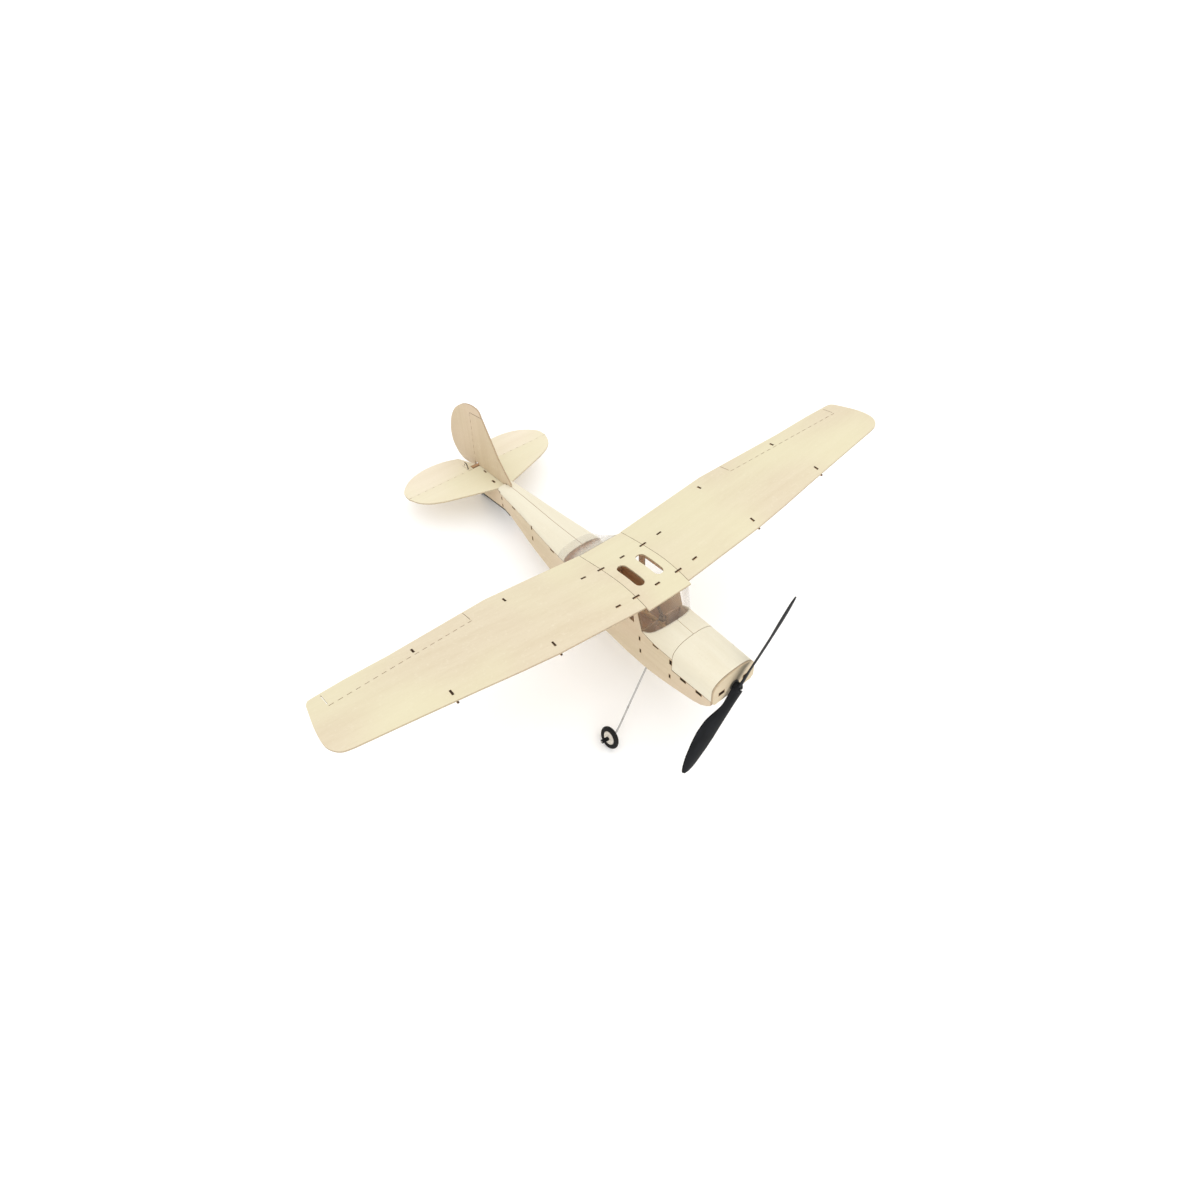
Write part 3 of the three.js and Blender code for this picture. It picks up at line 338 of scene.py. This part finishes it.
def carbon_strip():
    """The tail skid: fibres that run along it."""
    s = Shader("carbon_strip")
    place, _ = s.airframe()
    fibres = s.noise(s.stretched(place, (4, 0.1, 4)), 1.6, 3.0, 0.6)
    colour = s.mix(s.span(fibres, 0.35, 0.7), srgb(24, 24, 27), srgb(58, 58, 62))
    s.relief(fibres, 0.4, 0.03)
    return s.finish(base_color=colour, roughness=s.span(fibres, 0.3, 0.7, 0.35, 0.55))


def nylon():
    """The nose bearing."""
    s = Shader("nylon")
    place, _ = s.airframe()
    cloud = s.noise(place, 1.1, 3.0, 0.5)
    colour = s.mix(s.span(cloud, 0.3, 0.7), srgb(70, 68, 62), srgb(96, 93, 86))
    s.relief(cloud, 0.3, 0.05)
    return s.finish(base_color=colour, roughness=s.span(cloud, 0.3, 0.7, 0.4, 0.52))


def brass():
    """The thrust washer, with turning marks."""
    s = Shader("brass")
    place, _ = s.airframe()
    turned = s.noise(s.stretched(place, (1, 6, 1)), 2.0, 3.0, 0.6)
    colour = s.mix(s.span(turned, 0.3, 0.7), srgb(184, 150, 84), srgb(214, 184, 118))
    s.relief(turned, 0.3, 0.03)
    return s.finish(base_color=colour, metallic=1.0, roughness=s.span(turned, 0.3, 0.7, 0.26, 0.4))


def strand_rubber():
    """The rubber motor's strands."""
    s = Shader("rubber_strands")
    place, _ = s.airframe()
    cloud = s.noise(s.stretched(place, (1, 0.3, 1)), 1.2, 3.0, 0.6)
    colour = s.mix(s.span(cloud, 0.3, 0.7), srgb(176, 136, 86), srgb(206, 168, 116))
    s.relief(cloud, 0.3, 0.06)
    return s.finish(base_color=colour, roughness=s.span(cloud, 0.3, 0.7, 0.42, 0.6))


def floor_paper():
    """The studio's pale floor."""
    s = Shader("floor_paper")
    where = s.node("ShaderNodeTexCoord").outputs["Object"]
    cloud = s.noise(where, 1.5, 2.0, 0.5)
    colour = s.mix(s.span(cloud, 0.3, 0.7), srgb(253, 253, 253), srgb(255, 255, 255))
    return s.finish(base_color=colour, roughness=0.9)


# ---- The colours, and the materials on the CAD's own pieces ----------------------------------

WING = srgb(209, 196, 170), srgb(195, 179, 149)
TAIL = srgb(224, 213, 191), srgb(214, 200, 174)
DECK = srgb(219, 212, 191), srgb(208, 197, 170)
SIDE = srgb(204, 188, 159), srgb(188, 168, 136)
FIN = srgb(198, 180, 150), srgb(182, 161, 129)
BROWN = srgb(180, 142, 106), srgb(154, 116, 82)
CABIN = srgb(214, 176, 140), srgb(192, 154, 118)
GREENISH = srgb(214, 208, 174)
PINKISH = srgb(208, 187, 162)

wing_wood = wood("wing_balsa", "x", "z", *WING, inner=0.25, burnt=0.5, contrast=0.55,
                 bloom=GREENISH)
tail_wood = wood("tail_balsa", "x", "z", *TAIL, inner=0.15, burnt=0.5, contrast=0.55,
                 bloom=GREENISH)
side_wood = wood("side_balsa", "y", "x", *SIDE, inner=0.9, contrast=0.7, bloom=PINKISH)
deck_wood = wood("deck_balsa", "y", "arch", *DECK, inner=0.8, burnt=0.35, contrast=0.5)
belly_wood = wood("belly_balsa", "y", "z", *SIDE, inner=0.9, contrast=0.7)
face_wood = wood("nose_balsa", "x", "y", *SIDE, burnt=0.45, contrast=0.7)
joiner_wood = wood("joiner_balsa", "x", "z", *BROWN, burnt=0.6)
fin_wood = wood("fin_balsa", "z", "x", *FIN, burnt=0.6, contrast=0.55, bloom=PINKISH)
horn_wood = wood("horn_balsa", "y", "x", *TAIL, burnt=0.9, char=SOOTY)
frame_wood = wood("frame_balsa", "x", "y", *CABIN, burnt=0.95, char=SOOTY, gloss=SOOT_GLOSS)
former_wood = wood("former_balsa", "x", "y", *CABIN, burnt=0.5)
brace_wood = wood("brace_balsa", "z", "x", srgb(84, 52, 30), srgb(60, 36, 20), burnt=0.2)
rib_wood = wood("rib_balsa", "y", "x", *BROWN, burnt=0.95, char=SOOTY, gloss=SOOT_GLOSS)
block_wood = wood("block_balsa", "x", "y", *BROWN, burnt=0.4)
burnt_wood = charred()
# The windscreen's warm veil is painted cabin light seen through the film, and the grey it takes on
# the sides turned to the pilot's left is a painted reflection.
screen_film = film("windscreen_film", 0.12, srgb(212, 194, 172),
                   ("turn", 0.5, 0.95, 0.6, srgb(150, 147, 156)))
window_film = film("window_film", 0.05, srgb(214, 212, 222))
# On the rear window the grade runs paler and more covering towards the front, from y 60 to y 50.
hood_film = film("hood_film", 0.14, srgb(206, 198, 184),
                 ("along", 60, 50, 0.4, srgb(212, 206, 190)))
black_plastic = moulded_black()
tyre_rubber = foam_rubber()
rim_plastic = pale_disc()
steel = wire_steel()


def pair(name):
    """The names of a piece on the pilot's left and its match on the right."""
    return [f"{name}_{side}" for side, _ in SIDES]


CAD_LOOKS = {
    wing_wood: ["wing_center_panel", *pair("wing_panel")],
    tail_wood: ["stabilizer", *pair("elevator")],
    side_wood: pair("fuselage_side"),
    deck_wood: ["nose_hatch", *pair("cowl_deck"), *pair("rear_deck")],
    belly_wood: ["fuselage_bottom"],
    face_wood: ["nose_former"],
    joiner_wood: ["elevator_joiner"],
    horn_wood: ["elevator_horn"],
    fin_wood: ["fin", "rudder"],
    frame_wood: ["dihedral_brace_front", "dihedral_brace_rear"],
    former_wood: [
        f"{place}_former"
        for place in ("firewall", "cabin_front", "cabin_rear", "arch", "rear", "tail")
    ],
    brace_wood: ["cabin_brace"],
    rib_wood: [*pair("wing_rib_inner"), *pair("wing_rib_outer")],
    block_wood: ["gear_block", "motor_peg"],
    screen_film: ["windscreen"],
    window_film: pair("side_window"),
    hood_film: ["rear_window"],
    steel: ["prop_shaft", *pair("gear_leg")],
    black_plastic: pair("wheel_retainer"),
    carbon_strip(): ["tail_skid"],
    nylon(): ["nose_button"],
    brass(): ["thrust_washer"],
}


WELD = 2e-6  # metres
CORNER = math.radians(32)  # a sharper edge than this stays sharp


def smoothing_group():
    """A node group that welds a mesh's doubled points and shades it smooth, apart from its real
    corners."""
    group = bpy.data.node_groups.new("smooth_by_angle", "GeometryNodeTree")
    group.interface.new_socket("Geometry", in_out="INPUT", socket_type="NodeSocketGeometry")
    group.interface.new_socket("Geometry", in_out="OUTPUT", socket_type="NodeSocketGeometry")
    link = group.links.new
    source = group.nodes.new("NodeGroupInput")
    plain = group.nodes.new("GeometryNodeRemoveAttribute")
    plain.inputs["Name"].default_value = "custom_normal"
    merge = group.nodes.new("GeometryNodeMergeByDistance")
    merge.inputs["Distance"].default_value = WELD
    smooth = group.nodes.new("GeometryNodeSetShadeSmooth")
    corners = group.nodes.new("GeometryNodeSetShadeSmooth")
    corners.domain = "EDGE"
    corners.inputs["Shade Smooth"].default_value = False
    angle = group.nodes.new("GeometryNodeInputMeshEdgeAngle")
    sharp = group.nodes.new("FunctionNodeCompare")
    sharp.operation = "GREATER_THAN"
    sharp.inputs[1].default_value = CORNER
    out = group.nodes.new("NodeGroupOutput")
    link(source.outputs[0], plain.inputs["Geometry"])
    link(plain.outputs[0], merge.inputs["Geometry"])
    link(merge.outputs[0], smooth.inputs["Geometry"])
    link(smooth.outputs[0], corners.inputs["Geometry"])
    link(angle.outputs["Unsigned Angle"], sharp.inputs[0])
    link(sharp.outputs[0], corners.inputs["Selection"])
    link(corners.outputs[0], out.inputs[0])
    return group


SMOOTHING = smoothing_group()


def smooth_shading(piece):
    """Put the smoothing group on a piece as a modifier."""
    modifier = piece.modifiers.new("smooth_by_angle", "NODES")
    modifier.node_group = SMOOTHING


for material, names in CAD_LOOKS.items():
    for name in names:
        nodes[name].data.materials.clear()
        nodes[name].data.materials.append(material)
        smooth_shading(nodes[name])

# ---- Helpers for the new pieces --------------------------------------------------------------


def link_mesh(name, points, faces, material):
    """A mesh from points in the airframe's millimetres, with its faces turned outwards."""
    mesh = bpy.data.meshes.new(name)
    mesh.from_pydata([row(*point) for point in points], [], faces)
    solid = bmesh.new()
    solid.from_mesh(mesh)
    bmesh.ops.recalc_face_normals(solid, faces=solid.faces)
    solid.to_mesh(mesh)
    solid.free()
    mesh.materials.append(material)
    piece = bpy.data.objects.new(name, mesh)
    bpy.context.scene.collection.objects.link(piece)
    return piece


def add_piece(name, body, points, faces, material):
    """A mesh from points in the airframe's millimetres, riding on a CAD body."""
    piece = link_mesh(name, points, faces, material)
    smooth_shading(piece)
    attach(piece, body)
    return piece


def grid_faces(rows, columns, wrap_rows=False, wrap_columns=False, first=0):
    """Quads over a grid of points laid row by row."""
    quads = []
    for i in range(rows if wrap_rows else rows - 1):
        for j in range(columns if wrap_columns else columns - 1):
            a, b = first + i * columns, first + (i + 1) % rows * columns
            k = (j + 1) % columns
            quads.append((a + j, a + k, b + k, b + j))
    return quads


def tube_faces(rings, corners, first):
    """The skin and both ends of a tube of rings of points."""
    last = first + corners * (rings - 1)
    ends = [tuple(range(first + corners - 1, first - 1, -1)), tuple(range(last, last + corners))]
    return grid_faces(rings, corners, wrap_columns=True, first=first) + ends


# ---- Tabs: where a former or a brace passes through a sheet ----------------------------------

TAB_PROUD = 0.12
TAB_BEVEL = 0.12
TAB_HALF_DEPTH = 0.25
SCORCH_PROUD = 0.03
SCORCH_RIM = 0.28
SCORCH_BEVEL = 0.02


class Blocks:
    """Small blocks with a bevelled top, collected into one mesh."""

    def __init__(self):
        self.points = []
        self.faces = []

    def add(self, centre, across, along, up, bevel):
        """A block from its centre and its three half extents, as vectors."""
        centre, across, along, up = Vector(centre), Vector(across), Vector(along), Vector(up)
        first = len(self.points)
        levels = [(-1, 1), (1 - bevel / up.length, 1), (1, None)]
        for level, full in levels:
            inset = 0 if full else bevel
            a = across * (1 - inset / across.length)
            b = along * (1 - inset / along.length)
            for i, j in ((-1, -1), (1, -1), (1, 1), (-1, 1)):
                self.points.append(centre + a * i + b * j + up * level)
        self.faces += tube_faces(len(levels), 4, first)


def add_tabs(name, tabs):
    """Burnt tab ends standing a little out of a sheet, each with a scorched rim. A tab is its
    centre on the sheet, two half extents on it, and the sheet's outward normal."""
    ends, rims = Blocks(), Blocks()
    for centre, across, along, normal in tabs:
        centre, across, along = Vector(centre), Vector(across), Vector(along)
        normal = Vector(normal).normalized()
        up = normal * TAB_HALF_DEPTH
        ends.add(centre + normal * (TAB_PROUD - TAB_HALF_DEPTH), across, along, up, TAB_BEVEL)
        wider = [v * (1 + SCORCH_RIM / v.length) for v in (across, along)]
        rims.add(centre + normal * (SCORCH_PROUD - TAB_HALF_DEPTH), *wider, up, SCORCH_BEVEL)
    add_piece(name, "airframe", ends.points, ends.faces, burnt_wood)
    add_piece(name + "_scorch", "airframe", rims.points, rims.faces, scorch_wood)


scorch_wood = wood("scorched_balsa", "y", "x", srgb(178, 148, 112), srgb(150, 120, 86), burnt=0.4)

# On a side: y, z, half the length along Y and half the height along Z.
SIDE_TABS = [
    (-2.9, -30.3, 0.55, 1.5),
    (-3.6, -40.0, 0.55, 1.4),
    (-28.0, -29.4, 0.95, 1.7),
    (-27.7, -41.0, 0.6, 1.4),
    (-15.9, -26.5, 2.2, 0.45),
    (-37.9, -35.6, 2.2, 1.0),
    (-49.8, -35.6, 2.2, 1.0),
    (66.9, -25.2, 0.5, 1.6),
    (79, -19.4, 2.0, 0.45),
    (103.5, -18.0, 0.5, 1.3),
    (103.5, -26.5, 0.5, 1.5),
    (126, -16.7, 1.8, 0.45),
    (141.4, -18.2, 0.45, 1.1),
    (141.4, -24.0, 0.45, 0.9),
]

for side, sign in SIDES:
    tabs = []
    for y, z, half_y, half_z in SIDE_TABS:
        lean = (half_width(y + 1) - half_width(y - 1)) / 2
        tabs.append((
            (sign * half_width(y), y, z),
            (sign * lean * half_y, half_y, 0),
            (0, 0, half_z),
            (sign, -lean, 0),
        ))
    add_tabs(f"side_tabs_{side}", tabs)

# On the nose's flat face.
NOSE_Y = -60
add_tabs("nose_face_tabs", [
    ((x, NOSE_Y, -31), (2.1, 0, 0), (0, 0, 1.2), (0, -1, 0)) for x in (-9.2, 9.2)
])

# On the stabilizer: x, y, half the width and half the length.
STABILIZER_TOP = -13
add_tabs("tail_tabs", [
    ((x * sign, y, STABILIZER_TOP), (half_x, 0, 0), (0, half_y, 0), (0, 0, 1))
    for x, y, half_x, half_y in ((3.7, 154, 0.5, 1.4), (1.5, 167.2, 0.3, 1.3))
    for sign in (-1, 1)
])

# ---- Hinge bridges: the uncut wood between the laser's dashes --------------------------------

BRIDGE_REACH = 0.32  # from the hinge line to either end of a strip
BEND_REACH = 0.15  # from the hinge line to the second loop of points on either side
BEND_MIDDLE = 0.05
BRIDGE_HALF_THICKNESS = 0.47


def add_bridges(name, line, across, normal, count, share):
    """Thin strips over a hinge gap. line is the hinge's two ends, across points from the fixed
    piece to the moving one, and share is how much of the line the strips cover."""
    foot, head = Vector(line[0]), Vector(line[1])
    across, normal = Vector(across).normalized(), Vector(normal)
    step = (head - foot) / count
    points, faces = [], []
    sections = [-BRIDGE_REACH, -BEND_REACH, -BEND_MIDDLE, BEND_MIDDLE, BEND_REACH, BRIDGE_REACH]
    for k in range(count):
        low = foot + step * (k + (1 - share) / 2)
        high = low + step * share
        first = len(points)
        for reach in sections:
            for corner, side in ((low, -1), (high, -1), (high, 1), (low, 1)):
                points.append(corner + across * reach + normal * (side * BRIDGE_HALF_THICKNESS))
        faces += tube_faces(len(sections), 4, first)
    piece = link_mesh(name, points, faces, fin_wood if "rudder" in name else tail_wood)
    middle = (foot + head) / 2
    start, end = (row(*(middle + across * reach)) for reach in (-BEND_REACH, BEND_REACH))
    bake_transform(piece)
    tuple(start)
    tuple(end)


RUDDER_FOOT, RUDDER_HEAD = (0, 179.9, -9.5), (0, 177.3, 25.5)
hinge_lean = Vector(RUDDER_HEAD) - Vector(RUDDER_FOOT)
add_bridges("rudder_hinge_bridges", (RUDDER_FOOT, RUDDER_HEAD),
            Vector((1, 0, 0)).cross(hinge_lean) * -1, (1, 0, 0), count=7, share=0.52)

ELEVATOR_ROOT, ELEVATOR_END = 8.5, 54  # how far out its hinge line runs
ELEVATOR_HINGE = 175.4, -13.5  # y and z
for side, sign in SIDES:
    hinge_line = [(sign * x, *ELEVATOR_HINGE) for x in (ELEVATOR_ROOT, ELEVATOR_END)]
    add_bridges(f"elevator_hinge_bridges_{side}", hinge_line, (0, 1, 0), (0, 0, 1),
                count=8, share=0.72)

# ---- Propeller -------------------------------------------------------------------------------

PROP_RADIUS = 56.8
PROP_PITCH = 88
PROP_TURN = math.radians(41.6)
LEAST_TWIST_RADIUS = 32  # nearer the hub the blade twists no further
HUB_RADIUS = 2.7
HUB_LENGTH = 4
HUB_BORE = 0.8
HUB_SEGMENTS = 48
BLADE_STEPS = 60
BLADE_COLUMNS = 14
BLADE_ROOT = 0.02  # of the radius, inside the hub
FIRST_STATION = 0.05  # where the blade's profiles begin
CORNER_REACH = 0.035  # of the radius, over which a profile's corners are eased
TIP_REACH = 0.05  # of the radius, over which that easing fades out
BLADE_CAMBER = 0.07
BLADE_FULLNESS = 0.6

# Along the radius, from 0 to 1: the blade's reach ahead of its line and behind it, and how thick
# it is.
leading_edge = profile([(0.05, 4.4), (0.14, 4.2), (0.41, 4.3), (0.7, 4.7), (0.88, 4.3), (0.96, 3.4),
                        (1, 1.6)])
trailing_edge = profile([(0.05, 3.4), (0.14, 3), (0.22, 2.7), (0.3, 4.6), (0.41, 7.2), (0.55, 7.7),
                         (0.68, 7.3), (0.83, 5.8), (0.95, 3.4), (1, 1.4)])
blade_thickness = profile([(0.05, 1.8), (0.2, 1.2), (0.5, 1), (1, 0.6)])


def rounded(curve, fraction, reach):
    """A profile's value with its corners eased."""
    offsets = [reach * k / 3 for k in range(-3, 4)]
    samples = [curve(min(1, max(FIRST_STATION, fraction + offset))) for offset in offsets]
    return sum(samples) / len(samples)


def blade_rows(turn):
    """Closed blade sections from the hub to the tip."""
    rows = []
    there = range(BLADE_COLUMNS + 1)
    back = range(BLADE_COLUMNS - 1, 0, -1)
    for i in range(BLADE_STEPS + 1):
        fraction = BLADE_ROOT + (1 - BLADE_ROOT) * i / BLADE_STEPS
        radius = fraction * PROP_RADIUS
        ease = CORNER_REACH * min(1, (1 - fraction) / TIP_REACH)
        leading = rounded(leading_edge, fraction, ease)
        chord = leading + rounded(trailing_edge, fraction, ease)
        pitch = math.atan(PROP_PITCH / (2 * math.pi * max(radius, LEAST_TWIST_RADIUS)))
        section = []
        for side, order in ((1, there), (-1, back)):
            for j in order:
                t = (1 - math.cos(math.pi * j / BLADE_COLUMNS)) / 2
                lens = math.sin(math.pi * t) ** BLADE_FULLNESS
                arch = BLADE_CAMBER * chord * math.sin(math.pi * t)
                lift = arch + side * blade_thickness(fraction) * lens / 2
                along = t * chord - leading
                x = along * math.cos(pitch) + lift * math.sin(pitch)
                y = along * math.sin(pitch) - lift * math.cos(pitch)
                section.append((x, y, radius))
        rows.append([spin(point, turn) for point in section])
    return rows


def spin(point, turn):
    """A point of the upright propeller, turned about its shaft and put in place."""
    x, y, z = point
    c, s = math.cos(turn), math.sin(turn)
    return (HUB[0] + x * c + z * s, HUB[1] + y, HUB[2] - x * s + z * c)


def lathe(sections, segments, place):
    """Points and faces of a closed profile of (radius, distance) pairs turned about an axis."""
    points = []
    for k in range(segments):
        angle = 2 * math.pi * k / segments
        points += [place(radius, along, angle) for radius, along in sections]
    return points, grid_faces(segments, len(sections), wrap_rows=True, wrap_columns=True)


def about_shaft(radius, along, angle):
    """Distance runs forward from the hub's centre."""
    return (HUB[0] + radius * math.cos(angle), HUB[1] - along, HUB[2] + radius * math.sin(angle))


def make_propeller():
    """Two blades and a hub with a rounded nose."""
    points, faces = [], []
    for turn in (PROP_TURN, PROP_TURN + math.pi):
        rows = blade_rows(turn)
        faces += tube_faces(len(rows), len(rows[0]), len(points))
        points += [point for section in rows for point in section]
    half = HUB_LENGTH / 2
    hub_profile = [
        (HUB_BORE, -half), (HUB_RADIUS - 0.3, -half), (HUB_RADIUS, -half + 0.3),
        (HUB_RADIUS, half - 1.1), (HUB_RADIUS - 0.35, half - 0.5), (HUB_RADIUS - 1, half),
        (1.5, half), (1.35, half - 0.3), (1.1, half - 0.3), (HUB_BORE, half),
    ]
    hub_points, hub_faces = lathe(hub_profile, HUB_SEGMENTS, about_shaft)
    faces += [tuple(v + len(points) for v in face) for face in hub_faces]
    points += hub_points
    piece = add_piece("propeller_moulding", "propeller", points, faces, black_plastic)
    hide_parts("propeller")


make_propeller()

# ---- Rubber motor ----------------------------------------------------------------------------

HOOK_Y = -49
PEG_Y = 114.0
PEG_Z = -26.5
HOOK_GAP = 3.4
PEG_GAP = 2.1
STRANDS = 6
STRAND_STEPS = 150
STRAND_CORNERS = 8
STRAND_HALF_WIDTH = 0.72
STRAND_HALF_THICKNESS = 0.42
SKEIN_RADIUS = 1.2
SKEIN_RIPPLE = 0.12
SKEIN_TURNS = 5.5
GATHER = 0.04  # the share at each end over which the strands draw together


def motor_z(y):
    """The height of the straight line from the hub to the peg."""
    return HUB[2] + (PEG_Z - HUB[2]) * (y - HUB[1]) / (PEG_Y - HUB[1])


def make_rubber():
    """Slack strands of flat strip, twisted together between the hook and the peg."""
    start, end = HOOK_Y + HOOK_GAP, PEG_Y - PEG_GAP
    points, faces = [], []
    for strand in range(STRANDS):
        first = len(points)
        for i in range(STRAND_STEPS + 1):
            share = i / STRAND_STEPS
            y = start + (end - start) * share
            swirl = 2 * math.pi * (strand / STRANDS + SKEIN_TURNS * share)
            gather = 0.5 + 0.5 * min(1, share / GATHER, (1 - share) / GATHER)
            radius = gather * (SKEIN_RADIUS + SKEIN_RIPPLE * math.sin(9 * share * math.pi + strand))
            centre = (radius * math.cos(swirl), y, motor_z(y) + radius * math.sin(swirl))
            roll = swirl + math.pi / 2 + 0.7 * math.sin(13 * share + 2 * strand)
            for k in range(STRAND_CORNERS):
                angle = 2 * math.pi * k / STRAND_CORNERS
                wide = STRAND_HALF_WIDTH * math.cos(angle)
                thin = STRAND_HALF_THICKNESS * math.sin(angle)
                x = centre[0] + wide * math.cos(roll) - thin * math.sin(roll)
                z = centre[2] + wide * math.sin(roll) + thin * math.cos(roll)
                points.append((x, centre[1], z))
        faces += tube_faces(STRAND_STEPS + 1, STRAND_CORNERS, first)
    piece = add_piece("rubber_strands", "airframe", points, faces, strand_rubber())
    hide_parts("rubber_motor")


make_rubber()

# ---- Wheels ----------------------------------------------------------------------------------

WHEEL_CENTRE = Vector((50.5, -16, -78.5))
CAMBER = math.radians(13)
WHEEL_RADIUS = 6.9
TREAD_RADIUS = 1.4
HALF_TYRE = 1.45
TREAD_STEPS = 32
TYRE_SEGMENTS = 96
GROOVES = (-0.75, -0.25, 0.25, 0.75)  # along the axle
GROOVE_DEPTH = 0.14
GROOVE_HALF_WIDTH = 0.12
RIM_RADIUS = 4.1
RIM_BORE = 0.9
RIM_SEGMENTS = 72


def about_axle(sign):
    """Turned points for one wheel. Distance runs out along its axle."""
    axle = Vector((math.cos(CAMBER), 0, math.sin(CAMBER)))
    upward = Vector((-math.sin(CAMBER), 0, math.cos(CAMBER)))
    forward = Vector((0, -1, 0))

    def place(radius, along, angle):
        spoke = upward * math.cos(angle) + forward * math.sin(angle)
        point = WHEEL_CENTRE + axle * along + spoke * radius
        return (point.x * sign, point.y, point.z)

    return place


def make_wheel(side, sign):
    """A grooved tyre and the rim inside it."""
    inner = RIM_RADIUS + 0.3
    tread = [(inner, -HALF_TYRE + 0.4)]
    for k in range(TREAD_STEPS + 1):
        angle = -math.pi / 2 + math.pi * k / TREAD_STEPS
        along = HALF_TYRE * math.sin(angle)
        off_groove = min(abs(along - groove) for groove in GROOVES)
        dip = GROOVE_DEPTH * max(0, 1 - off_groove / GROOVE_HALF_WIDTH)
        tread.append((WHEEL_RADIUS - TREAD_RADIUS + (TREAD_RADIUS - dip) * math.cos(angle), along))
    tread.append((inner, HALF_TYRE - 0.4))
    points, faces = lathe(tread, TYRE_SEGMENTS, about_axle(sign))
    tyre = add_piece(f"tyre_moulding_{side}", f"wheel_{side}", points, faces, tyre_rubber)
    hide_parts(f"tyre_{side}")

    face = [
        (RIM_BORE, 1.25), (1.4, 1.25), (1.6, 1.1), (1.8, 0.75), (3.2, 0.6), (3.5, 0.8),
        (RIM_RADIUS - 0.15, 0.9), (RIM_RADIUS, 0.75),
    ]
    rim_profile = face + [(radius, -along) for radius, along in reversed(face)]
    points, faces = lathe(rim_profile, RIM_SEGMENTS, about_axle(sign))
    rim = add_piece(f"rim_disc_{side}", f"wheel_{side}", points, faces, rim_plastic)
    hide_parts(f"rim_{side}")


for side, sign in SIDES:
    make_wheel(side, sign)

# ---- Floor, light and camera -----------------------------------------------------------------

FLOOR_HALF = 6.0
WORLD_STRENGTH = 1.16
CAMERA_ANGLES = (-38.35, 44.58, -2.56)  # azimuth, elevation and roll in degrees
CAMERA_PLACE = (-224.1, -232.1, 305.9)
LENS_MM = 24.38
SENSOR_MM = 36


def add_floor():
    corners = [(FLOOR_HALF * x, FLOOR_HALF * y, 0) for x, y in ((-1, -1), (1, -1), (1, 1), (-1, 1))]
    mesh = bpy.data.meshes.new("floor")
    mesh.from_pydata(corners, [], [(0, 1, 2, 3)])
    mesh.materials.append(floor_paper())
    floor = bpy.data.objects.new("floor", mesh)
    bpy.context.scene.collection.objects.link(floor)


def add_softbox(name, location, target, size, power):
    """A round area light, in metres and watts."""
    light = bpy.data.lights.new(name, "AREA")
    light.shape = "DISK"
    light.size = size
    light.energy = power
    lamp = bpy.data.objects.new(name, light)
    bpy.context.scene.collection.objects.link(lamp)
    lamp.location = location
    lamp.rotation_euler = (Vector(target) - Vector(location)).to_track_quat("-Z", "Y").to_euler()


def add_lights():
    world = bpy.data.worlds.new("studio")
    world.use_nodes = True
    background = world.node_tree.nodes["Background"]
    background.inputs["Color"].default_value = (1, 1, 1, 1)
    background.inputs["Strength"].default_value = WORLD_STRENGTH
    bpy.context.scene.world = world
    add_softbox("overhead", (0.1, 0.1, 1.7), (0, 0, 0), size=2.4, power=7)
    add_softbox("front_fill", (-0.4, -1.5, 0.9), (0, -0.05, 0.05), size=1.2, power=2.5)


def add_camera():
    """The camera stands ahead of the right wing, looking down over it at the tail."""
    azimuth, elevation, roll = (math.radians(angle) for angle in CAMERA_ANGLES)
    right = Vector((math.cos(azimuth), math.sin(azimuth), 0))
    level = Vector((math.sin(azimuth), -math.cos(azimuth), 0))
    back = math.cos(elevation) * level + Vector((0, 0, math.sin(elevation)))
    up = back.cross(right)
    side = math.cos(roll) * right + math.sin(roll) * up
    top = -math.sin(roll) * right + math.cos(roll) * up
    turn = TO_ROW.to_3x3() * MM_PER_METRE
    matrix = Matrix((turn @ side, turn @ top, turn @ back)).transposed().to_4x4()
    matrix.translation = row(*CAMERA_PLACE)
    camera = bpy.data.objects.new("camera", bpy.data.cameras.new("camera"))
    camera.data.sensor_width = SENSOR_MM
    camera.data.lens = LENS_MM
    camera.data.clip_start = 0.01
    camera.matrix_world = matrix
    bpy.context.scene.collection.objects.link(camera)
    bpy.context.scene.camera = camera


add_floor()
add_lights()
add_camera()
bpy.context.scene.view_settings.view_transform = "Standard"
